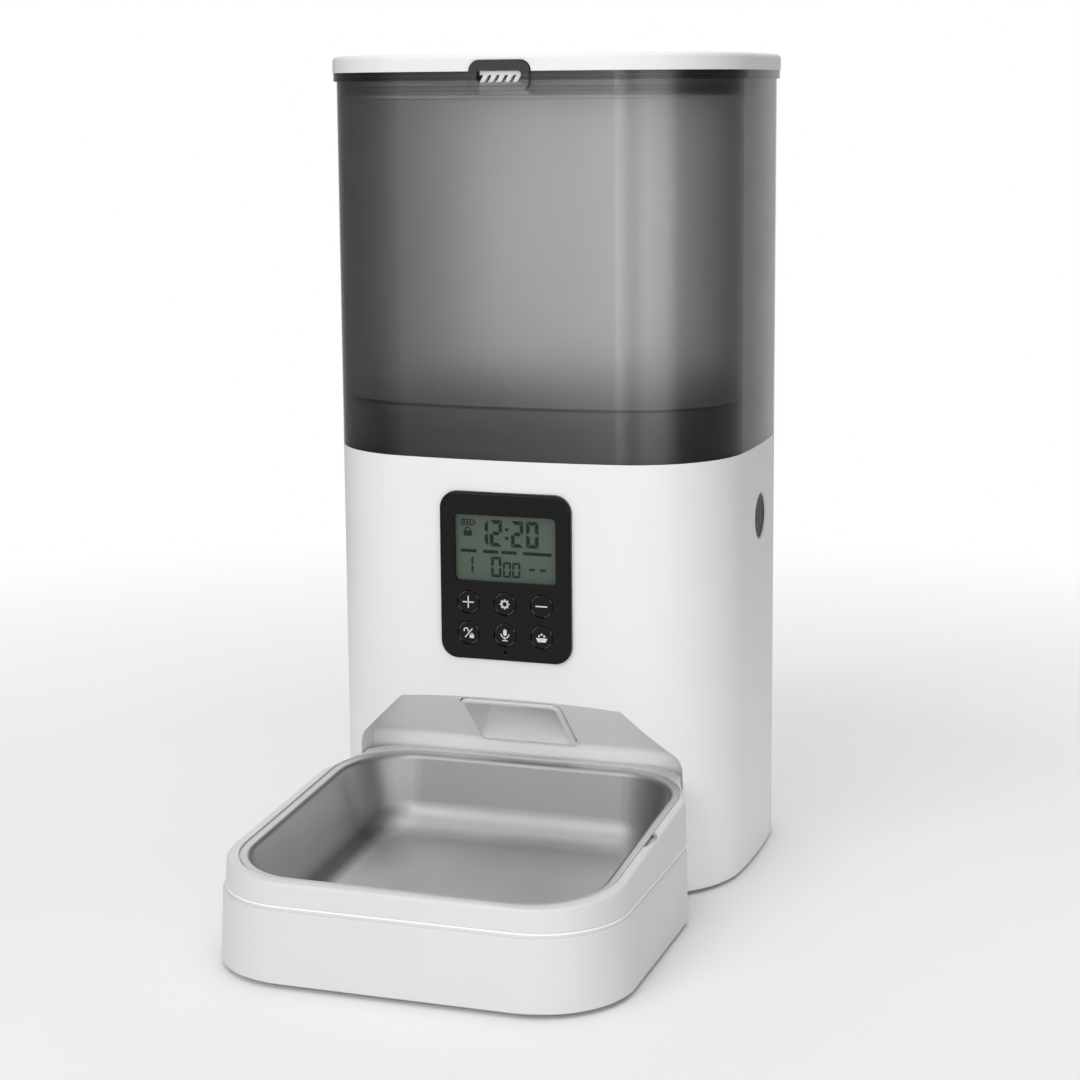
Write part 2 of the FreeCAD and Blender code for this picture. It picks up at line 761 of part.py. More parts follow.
def build_battery_bay():
    floor_z = S.foot_height + S.plate_thickness
    front, back = from_body(S.bay_front_y), from_body(S.bay_back_y)
    wall = 1.5
    outer = block("bay_outer", (-S.bay_half_width - wall, S.bay_half_width + wall),
                  (front - wall, back + wall), (floor_z, floor_z + S.bay_height + wall))
    inner = block("bay_inner", (-S.bay_half_width, S.bay_half_width), (front, back),
                  (floor_z - 1, floor_z + S.bay_height))
    keep(cut("battery_case_solid", outer, inner), "battery_case")
    cells = []
    contacts = []
    cell_front = front + 3.2
    nub, nub_radius, bevel = 1.5, 4.7, 0.8
    contact_half, contact_gauge = 7, 0.5
    for i in (-1, 0, 1):
        x = S.cell_pitch * i
        facing = 1 if i == 0 else -1
        start = cell_front if facing > 0 else cell_front + S.cell_length
        profile = [
            (0, 0),
            (S.cell_radius - bevel, 0),
            (S.cell_radius, bevel),
            (S.cell_radius, S.cell_length - nub - bevel),
            (S.cell_radius - bevel, S.cell_length - nub),
            (nub_radius, S.cell_length - nub),
            (nub_radius, S.cell_length),
            (0, S.cell_length),
        ]
        cells.append(turned(f"cell_{i}", profile, x, start, S.cell_z, "y" if facing > 0 else "-y"))
        for end, y in (("front", front + 0.1), ("back", back - 0.6)):
            contacts.append(block(f"contact_{end}_{i}", (x - contact_half, x + contact_half),
                                  (y, y + contact_gauge), (S.cell_z - contact_half, S.cell_z + contact_half)))
    keep(group("battery_cell_set", *cells), "battery_cells")
    keep(group("battery_contact_set", *contacts), "battery_contacts")
    # door with a row of grip grooves, held by friction in the plate's opening
    door_gap, door_thickness = 0.7, 2.0
    groove_half, groove_width, groove_pitch, groove_depth = 14, 1.4, 3.5, 0.8
    door = block("door_plate", (-S.bay_half_width + door_gap, S.bay_half_width - door_gap),
                 (front + door_gap, back - door_gap), (S.foot_height, S.foot_height + door_thickness))
    grooves = []
    for i in range(4):
        start = front + 8 + groove_pitch * i
        grooves.append(block(f"door_groove_{i}", (-groove_half, groove_half), (start, start + groove_width),
                             (S.foot_height - 1, S.foot_height + groove_depth)))
    keep(cut("battery_door_solid", door, *grooves), "battery_door")


# ---------------------------------------------------------------- dosing chamber, wheel and drive

def build_chamber():
    deck_top = S.deck_z + S.deck_thickness
    floor_low = S.chamber_floor_z - S.chamber_floor
    centre_y = from_body(S.wheel_y)
    deck = body_prism("deck_blank", S.deck_z, deck_top, -(S.housing_wall + S.shell_gap + 0.1))
    cup = rod("cup_outer", S.chamber_radius + S.chamber_wall, deck_top - floor_low, 0, centre_y, floor_low)
    solid = fuse("chamber_blank", deck, cup)
    swept = rod("cup_inner", S.chamber_radius, S.deck_z - S.chamber_floor_z - 0.5, 0, centre_y,
                S.chamber_floor_z)
    # the feed mouth is closed over the drop hole, so that food can't fall straight through
    mouth_radius, shield_half = 41.0, 25
    mouth = rod("deck_mouth", mouth_radius, 20, 0, centre_y, S.deck_z - 2)
    shield = block("discharge_shield", (-shield_half, shield_half), (centre_y - 60, centre_y - 17),
                   (S.deck_z - 3, deck_top + 20))
    drop = rounded_prism("drop_hole", S.chute_top_width - 4.5, S.chute_top_length - 4.5, 4,
                         0, chute_top_y(), floor_low - 2, S.chamber_floor_z + 2)
    tools = [swept, cut("feed_mouth", mouth, shield), drop]
    tools.append(rod("bush_hole", S.bush_radius + 0.02, 8, 0, centre_y, floor_low - 2))
    # room for the circuit board, which stands through the deck
    tools.append(block("board_notch", (-34, 34), (from_body(-84), from_body(-71)),
                       (S.deck_z - 2, deck_top + 2)))
    for side in MIRROR:
        for x, y in DECK_BOSSES:
            tools.append(rod(f"deck_hole_{x:g}_{y:g}_{side}", S.screw_radius + 0.3, 8,
                             side * x, from_body(y), S.deck_z - 2))
    keep(cut("dosing_chamber_solid", solid, *tools), "dosing_chamber")
    screws = []
    for side in MIRROR:
        for x, y in DECK_BOSSES:
            screws.append(pan_screw(f"deck_screw_{y:g}_{side}", 12, side * x, from_body(y),
                                    deck_top + S.screw_head_height, "-z"))
    keep(group("deck_screw_set", *screws), "deck_screws")


def chute_top_y():
    return from_body(-25.5)


def build_chute():
    top_z = S.chamber_floor_z - 2.5
    sections = {}
    for name, grow in (("outer", 0), ("inner", -2 * S.chute_wall.value)):
        corner = S.window_corner + grow / 2
        low = draw_rounded_rect(in_ceiling(free_sketch(f"chute_{name}_low"), -S.chute_lip),
                                S.window_width + grow, S.window_length + grow, corner, 0, WINDOW_SHIFT)
        high = draw_rounded_rect(free_sketch(f"chute_{name}_high", "XY", top_z),
                                 S.chute_top_width + grow, S.chute_top_length + grow, corner,
                                 0, chute_top_y())
        sections[name] = loft(f"chute_{name}", low, high)
    keep(cut("feed_chute_solid", sections["outer"], sections["inner"]), "feed_chute")


def build_wheel():
    body = new_body("food_wheel_body")
    low = S.chamber_floor_z + 1.5
    centre_y = from_body(S.wheel_y)
    hub = draw_circle(body_sketch(body, "wheel_hub", "XY_Plane", low), 0, 0, S.wheel_hub_radius)
    pad(body, hub, S.wheel_height)
    vane = draw_rounded_rect(body_sketch(body, "wheel_vane", "XY_Plane", low), S.wheel_radius - 6,
                             S.vane_thickness, S.vane_thickness / 2 - 0.05, S.wheel_radius / 2 + 3, 0)
    vane_pad = pad(body, vane, S.wheel_height)
    ring = body.newObject("PartDesign::PolarPattern", "wheel_vanes")
    ring.Originals = [vane_pad]
    ring.Axis = (hub, ["N_Axis"])
    ring.Angle = 360
    ring.setExpression("Occurrences", S.vane_count.text)
    body.Tip = ring
    bore = draw_circle(body_sketch(body, "wheel_bore", "XY_Plane", low), 0, 0, S.shaft_radius + S.shaft_gap)
    pocket(body, bore, S.wheel_height - 4, backwards=True)
    put(body, 0, centre_y, 0)
    keep(body, "food_wheel")
    shaft_low = S.gear_z - 1.5
    shaft_length = low + S.wheel_height - 6 - shaft_low
    bevel = 0.4
    shaft_profile = [
        (0, 0),
        (S.shaft_radius - bevel, 0),
        (S.shaft_radius, bevel),
        (S.shaft_radius, shaft_length),
        (0, shaft_length),
    ]
    keep(turned("drive_shaft_solid", shaft_profile, 0, centre_y, shaft_low), "drive_shaft")
    floor_low = S.chamber_floor_z - S.chamber_floor
    bore_radius = S.shaft_radius + S.shaft_gap
    collar_radius, collar_low, collar_top, bush_top = 7.0, -1.4, -0.02, 3.2
    bush_profile = [
        (bore_radius, collar_low),
        (collar_radius, collar_low),
        (collar_radius, collar_top),
        (S.bush_radius, collar_top),
        (S.bush_radius, bush_top),
        (bore_radius, bush_top),
    ]
    keep(turned("wheel_bush_solid", bush_profile, 0, centre_y, floor_low), "wheel_bush")


PRESSURE_ANGLE = math.radians(25)


def gear_outline(teeth, module, phase, backlash=0.16, flank_points=6):
    """A closed wire of involute teeth, one of them centred on the angle phase."""
    pitch = teeth * module / 2
    base = pitch * math.cos(PRESSURE_ANGLE)
    tip = pitch + 0.92 * module
    root = pitch - 1.25 * module
    half = math.pi / (2 * teeth) - backlash / (2 * pitch) + math.tan(PRESSURE_ANGLE) - PRESSURE_ANGLE
    start = max(base, root)
    points = []
    for i in range(flank_points):
        radius = start + (tip - start) * i / (flank_points - 1)
        roll = math.acos(min(1.0, base / radius))
        points.append((radius, half - (math.tan(roll) - roll)))
    if root < start:
        points.insert(0, (root, points[0][1]))

    def at(radius, angle):
        return FreeCAD.Vector(radius * math.cos(angle), radius * math.sin(angle), 0)

    edges = []
    step = 2 * math.pi / teeth
    for tooth in range(teeth):
        axis = phase + tooth * step
        rising = [at(radius, axis - angle) for radius, angle in points]
        falling = [at(radius, axis + angle) for radius, angle in reversed(points)]
        edges += [Part.LineSegment(p, q).toShape() for p, q in zip(rising, rising[1:])]
        edges.append(Part.Arc(rising[-1], at(tip, axis), falling[0]).toShape())
        edges += [Part.LineSegment(p, q).toShape() for p, q in zip(falling, falling[1:])]
        next_start = at(points[0][0], axis + step - points[0][1])
        edges.append(Part.Arc(falling[-1], at(points[0][0], axis + step / 2), next_start).toShape())
    return Part.Wire(edges)


def gear_solid(teeth, phase, width, bore, hub_radius, hub_height):
    """A spur gear with a short hub above its teeth, bored through."""
    blank = Part.Face(gear_outline(teeth, S.gear_module.value, phase)).extrude(FreeCAD.Vector(0, 0, width))
    hub = Part.makeCylinder(hub_radius, width + hub_height)
    hole = Part.makeCylinder(bore, width + hub_height + 2, FreeCAD.Vector(0, 0, -1))
    return blank.fuse(hub).cut(hole).removeSplitter()


def build_drive():
    centre_y = from_body(S.wheel_y)
    spacing = (S.gear_teeth + S.pinion_teeth) * S.gear_module / 2
    motor_y = centre_y + spacing
    gear = doc.addObject("Part::Feature", "drive_gear_solid")
    gear.Shape = gear_solid(int(S.gear_teeth.value), math.pi / 2, S.gear_width.value,
                            S.shaft_radius.value + S.shaft_gap.value, 7.0, 1.2)
    put(gear, 0, centre_y, S.gear_z)
    keep(gear, "drive_gear")
    pinion = doc.addObject("Part::Feature", "motor_pinion_solid")
    half_pitch = math.pi / S.pinion_teeth.value
    pinion.Shape = gear_solid(int(S.pinion_teeth.value), -math.pi / 2 + half_pitch, S.gear_width.value,
                              S.motor_shaft_radius.value + 0.03, 3.6, 0.8)
    put(pinion, 0, motor_y, S.gear_z)
    keep(pinion, "motor_pinion")
    plate_low = S.gear_z - 3.4
    plate_high = S.gear_z - 1.2
    keep(rod("motor_shaft_solid", S.motor_shaft_radius, 13, 0, motor_y, plate_low - 4), "motor_shaft")
    can = rod("motor_can", S.motor_radius, S.motor_height, 0, motor_y, plate_low - S.motor_height)
    collar = rod("motor_collar", 5.0, 1.6, 0, motor_y, plate_low - 0.01)
    tail = rod("motor_tail", 4.0, 2.0, 0, motor_y, plate_low - S.motor_height - 2)
    bore = rod("motor_bore", S.motor_shaft_radius + 0.06, 8, 0, motor_y, plate_low - 4.5)
    keep(cut("gear_motor_solid", fuse("motor_blank", can, collar, tail), bore), "gear_motor")
    plate = rounded_prism("bracket_plate", 54, 30, 4, 0, motor_y + 4, plate_low + 0.05, plate_high)
    pillar_x, pillar_y, sunk = 21.5, motor_y + 8, 0.5
    pillar_top = S.chamber_floor_z - S.chamber_floor - 0.02
    pillars = [rod(f"bracket_pillar_{side}", 3.6, pillar_top - plate_high + sunk, side * pillar_x,
                   pillar_y, plate_high - sunk) for side in MIRROR]
    holes = [rod("collar_hole", 5.1, 8, 0, motor_y, plate_low - 2)]
    holes += [rod(f"bracket_hole_{side}", S.screw_radius + S.shaft_gap, 20, side * pillar_x, pillar_y,
                  plate_low - 2) for side in MIRROR]
    keep(cut("motor_bracket_solid", fuse("bracket_blank", plate, *pillars), *holes), "motor_bracket")
    screws = [pan_screw(f"motor_screw_{side}", 9.5, side * pillar_x, pillar_y,
                        plate_low - S.screw_head_height) for side in MIRROR]
    keep(group("motor_screw_set", *screws), "motor_screws")


# ---------------------------------------------------------------- control panel and electronics

KEYS = {
    "key_plus": (-1, "upper"),
    "key_set": (0, "upper"),
    "key_minus": (1, "upper"),
    "key_lock": (-1, "lower"),
    "key_record": (0, "lower"),
    "key_feed": (1, "lower"),
}


def key_centre(column, line):
    return S.key_pitch * column, S.key_upper_z if line == "upper" else S.key_lower_z


def build_panel():
    thickness = S.panel_back_y - S.panel_front_y
    slab = rounded_slab("panel_slab", S.panel_width, S.panel_height, S.panel_corner, panel_mid_z(),
                        from_body(S.panel_front_y), thickness)
    edge_y = from_body(S.panel_front_y).value
    soft = fillet("panel_soft", slab, 1.2, lambda edge: abs(middle(edge).y - edge_y) < 0.05)
    lcd_mid_z = S.lcd_bottom_z + S.lcd_height / 2
    tools = [rounded_slab("lcd_hole", S.lcd_width + 0.3, S.lcd_height + 0.3, 2.2, lcd_mid_z,
                          from_body(S.panel_front_y) - 2, 8)]
    tools.append(rod("microphone_hole", 0.8, 10, 0, from_body(S.panel_front_y) - 2,
                     S.panel_bottom_z + 4.2, "y"))
    for column, line in KEYS.values():
        x, z = key_centre(column, line)
        tools.append(rod(f"key_hole_{column}_{line}", S.key_radius + 0.25, 10, x,
                         from_body(S.panel_front_y) - 2, z, "y"))
    keep(cut("control_panel_solid", soft, *tools), "control_panel")
    keep(rounded_slab("lcd_lens_solid", S.lcd_width, S.lcd_height, 2.0, lcd_mid_z,
                      from_body(S.panel_front_y) + 0.15, 1.2), "lcd_lens")
    keep(rounded_slab("lcd_module_solid", S.lcd_width + 3, S.lcd_height + 3, 1.0, lcd_mid_z,
                      from_body(S.panel_back_y) + 0.1, 3.8), "lcd_module")
    proud, bevel = 0.15, 0.5
    flange_low = thickness + proud + 0.1
    flange_high = flange_low + 0.6
    for name, (column, line) in KEYS.items():
        x, z = key_centre(column, line)
        profile = [
            (0, 0),
            (S.key_radius - bevel, 0),
            (S.key_radius, bevel),
            (S.key_radius, flange_low),
            (S.key_radius + 0.9, flange_low),
            (S.key_radius + 0.9, flange_high),
            (0, flange_high),
        ]
        keep(turned(name + "_solid", profile, x, from_body(S.panel_front_y) - proud, z, "y"), name)
    key_mid_z = (S.key_upper_z + S.key_lower_z) / 2
    keep(rounded_slab("keypad_mat_solid", S.key_pitch * 2 + 16, 30, 3, key_mid_z,
                      from_body(S.panel_back_y) + 1.8, 2.2), "keypad_mat")
    keep(rounded_slab("main_board_solid", S.panel_width - 8, S.panel_height - 8, 1.5, panel_mid_z(),
                      from_body(S.panel_back_y) + 4.1, 1.6), "main_board")


def build_socket():
    """Barrel power socket at the back, pin along the depth."""
    back = from_body(79.4)
    half_width, half_height, box_length = 4.7, 5.5, 12
    box = block("socket_box", (-half_width, half_width), (back - box_length, back),
                (S.socket_z - half_height, S.socket_z + half_height))
    collar = rod("socket_collar", 4.1, 2.4, 0, back - 0.01, S.socket_z, "y")
    hollow = rod("socket_hollow", 2.85, 12, 0, back - 8.5, S.socket_z, "y")
    shell = cut("socket_shell", fuse("socket_blank", box, collar), hollow)
    pin = rod("socket_pin", 1.0, 8.0, 0, back - 8.7, S.socket_z, "y")
    keep(fuse("dc_socket_solid", shell, pin), "dc_socket")


# ---------------------------------------------------------------- tank release buttons

def build_release(side, word):
    axis = "-x" if side > 0 else "x"
    face_x = S.outline_width / 2 - 0.75
    flange_at, flange_width, flange_thickness, stem_end = 3.4, 1.6, 1.5, 19.5
    # the face is slightly dished inside a raised, rounded rim
    profile = [
        (0, 0.5),
        (S.release_radius - 1.6, 0.25),
        (S.release_radius - 0.7, 0),
        (S.release_radius, 0.6),
        (S.release_radius, flange_at),
        (S.release_radius + flange_width, flange_at),
        (S.release_radius + flange_width, flange_at + flange_thickness),
        (S.stem_radius, flange_at + flange_thickness),
        (S.stem_radius, stem_end),
        (0, stem_end),
    ]
    y = from_body(S.release_y)
    keep(turned(f"release_button_{word}_solid", profile, side * face_x, y, S.release_z, axis),
         f"release_button_{word}")
    spring_front = S.outline_width / 2 - 5.95
    length = spring_front - (S.outline_width / 2 - S.guide_inset)
    spring = turned(f"release_spring_{word}_solid", bellows(length, 4.8, 7.4), side * spring_front, y,
                    S.release_z, axis)
    keep(spring, f"release_spring_{word}")


def bellows(length, inner, outer):
    """Section of a corrugated spring sleeve: a zigzag band between two radii, along its height."""
    folds = 6
    band = 0.9
    pitch = length / folds
    near = [(inner if i % 2 == 0 else outer, pitch * i) for i in range(folds + 1)]
    return near + [(radius + band, height) for radius, height in reversed(near)]


def build_release_guides():
    """Brackets on the deck that guide the button stems and back the springs."""
    deck_top = S.deck_z + S.deck_thickness
    y = from_body(S.release_y)
    near = S.outline_width / 2 - S.guide_inset
    half_width, plate_gauge, foot_length, foot_gauge = 11, 2.4, 10, 2
    guides = []
    for side in MIRROR:
        plate_x = (near - plate_gauge, near) if side > 0 else (-near, plate_gauge - near)
        plate = block(f"guide_plate_{side}", plate_x, (y - half_width, y + half_width),
                      (deck_top, S.release_z + 10))
        foot_x = (near - foot_length, near) if side > 0 else (-near, foot_length - near)
        foot = block(f"guide_foot_{side}", foot_x, (y - half_width, y + half_width),
                     (deck_top, deck_top + foot_gauge))
        hole = rod(f"guide_hole_{side}", S.stem_radius + 0.2, 10, side * (near - 6), y, S.release_z,
                   "x" if side > 0 else "-x")
        guides.append(cut(f"guide_{side}", fuse(f"guide_blank_{side}", plate, foot), hole))
    keep(group("release_guide_set", *guides), "release_guides")


# ---------------------------------------------------------------- tank

def build_tank():
    wall = S.tank_wall
    outer = body_prism("tank_outer", S.parting_z, S.rim_z)
    inner = body_prism("tank_inner", S.parting_z - 1, S.rim_z + 1, -wall)
    tube = cut("tank_tube", outer, inner)
    flange_low = S.rim_z - S.flange_height
    flange = cut("tank_flange", body_prism("flange_outer", flange_low, S.rim_z, S.flange_overhang),
                 body_prism("flange_inner", flange_low - 1, S.rim_z + 1, -wall / 2))
    spigot_inset = S.housing_wall + S.shell_gap
    spigot = cut("tank_spigot", body_prism("spigot_outer", S.parting_z - 7, S.parting_z + 6, -spigot_inset),
                 body_prism("spigot_inner", S.parting_z - 8, S.parting_z + 7, -(spigot_inset + wall)))
    collar = cut("tank_foot_ring", body_prism("ring_outer", S.parting_z, S.parting_z + 3, -wall / 2),
                 body_prism("ring_inner", S.parting_z - 1, S.parting_z + 4, -(spigot_inset + wall)))
    centre_y = from_body(S.wheel_y)
    funnels = {}
    for name, inset, drop in (("outer", wall / 2, 2.4), ("inner", wall, 0.0)):
        top = draw_body_outline(free_sketch(f"funnel_{name}_top", "XY", S.funnel_top_z - drop), -inset)
        narrow = S.neck_width if name == "outer" else S.neck_width - wall * 2
        corner = S.neck_corner if name == "outer" else S.neck_corner - wall
        low_sketch = free_sketch(f"funnel_{name}_low", "XY", S.funnel_bottom_z)
        low = draw_rounded_rect(low_sketch, narrow, narrow, corner, 0, centre_y)
        funnels[name] = loft(f"funnel_{name}", low, top)
        funnels[name + "_neck"] = rounded_prism(f"neck_{name}", narrow, narrow, corner, 0, centre_y,
                                                S.neck_bottom_z - (0 if name == "outer" else 1),
                                                S.funnel_bottom_z + 0.01)
    lip_cut = body_prism("funnel_mouth", S.funnel_top_z - 0.5, S.funnel_top_z + 1, -wall)
    funnel = cut("tank_funnel", fuse("funnel_solid", funnels["outer"], funnels["outer_neck"]),
                 funnels["inner"], funnels["inner_neck"], lip_cut)
    loop_front = from_body(-85.2)
    half = S.loop_half_width
    loop_sketch = draw_rounded_rect(free_sketch("loop_outline", "XZ", from_body(-80.6)), half * 2,
                                    S.loop_top_z - S.loop_bottom_z, S.loop_corner, 0,
                                    (S.loop_top_z + S.loop_bottom_z) / 2)
    loop = extrude("loop_blank", loop_sketch, from_body(-80.6) - loop_front)
    pocket_wall = 1.4
    catch_room = 0.8
    pocket_half = S.catch_half_width + catch_room
    pocket_back = from_body(-77.3)
    lug = block("pocket_lug", (-pocket_half - pocket_wall, pocket_half + pocket_wall),
                (from_body(-81), pocket_back + pocket_wall), (S.loop_bottom_z, S.rim_z))
    catch_space = block("catch_space", (-pocket_half, pocket_half), (from_body(-83.6), pocket_back),
                        (S.slot_bottom_z - 1.6, S.loop_top_z - 2.4))
    above = block("above_rim", (-half - 5, half + 5), (from_body(-81.4), pocket_back + 5),
                  (S.rim_z, S.lid_top_z))
    slot = rounded_slab("loop_slot", S.slot_half_width * 2, S.slot_top_z - S.slot_bottom_z, 1.6,
                        (S.slot_top_z + S.slot_bottom_z) / 2, loop_front - 1, 4)
    arm = block("hinge_arm", (-S.tank_knuckle_half_length, S.tank_knuckle_half_length),
                (from_body(81), from_body(S.hinge_y)), (S.rim_z - 7, S.rim_z))
    knuckle = rod("tank_knuckle", S.hinge_radius, S.tank_knuckle_half_length * 2, -S.tank_knuckle_half_length,
                  from_body(S.hinge_y), S.rim_z, "x")
    blank = fuse("tank_blank", tube, flange, spigot, collar, funnel, loop, lug, arm, knuckle)
    tools = [catch_space, above, slot]
    tools.append(rod("tank_pin_hole", S.hinge_pin_radius + S.shaft_gap, 120, -60, from_body(S.hinge_y),
                     S.rim_z, "x"))
    start = S.tank_knuckle_half_length
    for side in MIRROR:
        tools.append(rod(f"knuckle_room_{side}", S.hinge_radius + 0.5, S.hinge_half_length - start + 2,
                         side * start, from_body(S.hinge_y), S.rim_z, "x" if side > 0 else "-x"))
    keep(cut("food_tank_solid", blank, *tools), "food_tank")


# ---------------------------------------------------------------- lid

def build_lid():
    over = S.lid_overhang
    cap = body_prism("lid_cap", S.rim_z, S.lid_top_z, over)
    top_z = S.lid_top_z.value
    soft = fillet("lid_soft", cap, S.lid_edge_radius, lambda edge: abs(middle(edge).z - top_z) < 0.05)
    room = body_prism("lid_room", S.rim_z - 1, S.lid_top_z - S.lid_plate, over - S.lid_rim_wall)
    shell = cut("lid_shell", soft, room)
    plug_inside = -(S.plug_inset + S.plug_wall)
    plug = cut("lid_plug", body_prism("plug_outer", S.plug_bottom_z, S.lid_top_z - 1, -S.plug_inset),
               body_prism("plug_inner", S.plug_bottom_z - 1, S.lid_top_z - S.lid_plate, plug_inside))
    # groove that holds the seal
    groove = cut("seal_groove", body_prism("groove_outer", S.plug_bottom_z + 1.4, S.plug_bottom_z + 5.4, 0),
                 body_prism("groove_inner", S.plug_bottom_z, S.plug_bottom_z + 7, -(S.plug_inset + 0.8)))
    knuckles = []
    rooms = []
    start = S.tank_knuckle_half_length + 0.4
    length = S.hinge_half_length - start
    for side in MIRROR:
        axis = "x" if side > 0 else "-x"
        knuckles.append(rod(f"lid_knuckle_{side}", S.hinge_radius, length, side * start, from_body(S.hinge_y),
                            S.rim_z, axis))
        bounds = (start, S.hinge_half_length) if side > 0 else (-S.hinge_half_length, -start)
        knuckles.append(block(f"lid_arm_{side}", bounds, (from_body(82), from_body(S.hinge_y)),
                              (S.rim_z + 0.2, S.rim_z + S.hinge_radius)))
    rooms.append(rod("tank_knuckle_room", S.hinge_radius + 0.5, S.tank_knuckle_half_length * 2 + 0.8,
                     -S.tank_knuckle_half_length - 0.4, from_body(S.hinge_y), S.rim_z, "x"))
    rooms.append(rod("lid_pin_hole", S.hinge_pin_radius + S.shaft_gap, 120, -60, from_body(S.hinge_y),
                     S.rim_z, "x"))
    gap = 0.45
    rooms.append(rounded_slab("loop_notch", (S.loop_half_width + gap) * 2,
                              S.loop_top_z - S.loop_bottom_z + gap * 2, S.loop_corner + gap,
                              (S.loop_top_z + S.loop_bottom_z) / 2, from_body(-90), 9.8))
    catch_half = S.catch_half_width + 0.4
    lug_half = S.catch_half_width + 2.8
    rooms.append(block("lug_notch", (-lug_half, lug_half), (from_body(-84), from_body(-75.2)),
                       (S.plug_bottom_z - 1, S.rim_z + 0.3)))
    rooms.append(block("catch_slot", (-catch_half, catch_half), (from_body(-83.6), from_body(-77.6)),
                       (S.rim_z, S.lid_top_z - S.lid_plate)))
    blank = fuse("lid_blank", shell, plug, *knuckles)
    keep(cut("lid_solid", blank, groove, *rooms), "lid")
    seal_blank = body_prism("seal_outer", S.plug_bottom_z + 1.5, S.plug_bottom_z + 5.3, -(S.tank_wall + 0.55))
    seal_inner = body_prism("seal_inner", S.plug_bottom_z, S.plug_bottom_z + 7, -(S.plug_inset + 0.75))
    seal_gap = block("seal_gap", (-lug_half, lug_half), (from_body(-84), from_body(-70)),
                     (S.plug_bottom_z, S.plug_bottom_z + 7))
    keep(cut("lid_seal_solid", seal_blank, seal_inner, seal_gap), "lid_seal")


def build_catch():
    """Sprung tab in the lid that shows through the tank's loop: a top bar over slanted grip ribs."""
    half = S.catch_half_width
    front = from_body(-82.6)
    back = from_body(-80.6)
    low, high = S.slot_bottom_z - 1.0, S.lid_top_z - S.lid_plate - 3.2
    bar_low = S.slot_top_z - 1.9
    tab = block("catch_tab", (-half, half), (front + 0.9, back), (bar_low, high))
    bar = block("catch_bar", (-half, half), (front, back), (bar_low, S.slot_top_z - 0.2))
    rail = block("catch_rail", (-half, half), (front + 0.9, back), (low, S.slot_bottom_z - 0.1))
    ribs = []
    count, lean, width = 5, 1.5, 1.1
    for i in range(count):
        x = -half + half * 2 * (i + 0.5) / count
        sketch = draw_polygon(free_sketch(f"catch_rib_{i}_outline", "XZ", back), [
            (x - lean - width, low),
            (x - lean + width, low),
            (x + lean + width, S.slot_top_z - 1),
            (x + lean - width, S.slot_top_z - 1),
        ])
        ribs.append(extrude(f"catch_rib_{i}", sketch, back - front))
    ribs_kept = common("catch_ribs", fuse("catch_rib_set", *ribs),
                       block("catch_limit", (-half, half), (front, back), (low, high)))
    keep(fuse("lid_catch_solid", tab, bar, rail, ribs_kept), "lid_catch")


def build_hinge_pin():
    length, bevel = S.hinge_half_length * 2, 0.3
    profile = [
        (0, 0),
        (S.hinge_pin_radius - bevel, 0),
        (S.hinge_pin_radius, bevel),
        (S.hinge_pin_radius, length - bevel),
        (S.hinge_pin_radius - bevel, length),
        (0, length),
    ]
    pin = turned("hinge_pin_solid", profile, -S.hinge_half_length, from_body(S.hinge_y), S.rim_z, "x")
    keep(pin, "hinge_pin")


def build_desiccant():
    """Drying-agent cup under the lid with a slotted cover."""
    top = S.lid_top_z - S.lid_plate
    radius, wall, height = 27.0, 1.6, 10.0
    inside = radius - wall
    cup_profile = [(0, 0), (radius, 0), (radius, -height), (inside, -height), (inside, -wall), (0, -wall)]
    keep(turned("desiccant_box_solid", cup_profile, 0, from_body(0), top), "desiccant_box")
    cover = rod("cover_disc", inside - 0.2, wall, 0, from_body(0), top - height + 0.1)
    slot_half, slot_pitch = 0.8, 5
    slots = []
    for i in range(-3, 4):
        slot_y = (from_body(i * slot_pitch - slot_half), from_body(i * slot_pitch + slot_half))
        slots.append(block(f"cover_slot_{i}", (-14, 14), slot_y, (top - height - 1, top - height + 3)))
    keep(cut("desiccant_cover_solid", cover, *slots), "desiccant_cover")


# ---------------------------------------------------------------- tray and bowl

def in_rim_plane(obj, offset):
    """Lay an object in the tray rim's tilted plane, at a height above the rim along its normal."""
    tilt = math.radians(S.bowl_tilt.value)
    obj.Placement = FreeCAD.Placement(FreeCAD.Vector(),
                                      FreeCAD.Rotation(FreeCAD.Vector(1, 0, 0), S.bowl_tilt.value))
    obj.setExpression(".Placement.Base.y", (from_body(S.bowl_y) - dim(offset) * math.sin(tilt)).text)
    obj.setExpression(".Placement.Base.z", (S.bowl_rim_z + dim(offset) * math.cos(tilt)).text)
    return obj


def rim_prism(name, width, length, corner, low, high, x=0, y=0):
    """A rounded prism square to the rim plane, between two heights measured from it."""
    sketch = in_rim_plane(free_sketch(name + "_outline"), low)
    draw_rounded_rect(sketch, width, length, corner, x, y)
    return extrude(name, sketch, dim(high) - low)


TRAY_BOSSES = ((73.0, -207.6), (73.0, -68.2))


def tray_clearance(name):
    """Plan limit of the tray: wide in front, cut back on a slant beside the body, narrow inside the niche."""
    neck, edge = S.tray_neck_half_width, S.tray_edge_x
    back = from_body(S.tray_back_y)
    turn_y, neck_y = from_body(S.tray_edge_y), from_body(S.tray_neck_y)
    far = from_body(S.tray_front_y) - 10
    flare, flare_run = 4, 11.8
    sketch = draw_polygon(free_sketch(name + "_outline", "XY", -1), [
        (-edge - flare, far),
        (edge + flare, far),
        (edge + flare, turn_y - flare_run),
        (edge, turn_y),
        (neck, neck_y),
        (neck, back),
        (-neck, back),
        (-neck, neck_y),
        (-edge, turn_y),
        (-edge - flare, turn_y - flare_run),
    ])
    return extrude(name, sketch, 90)


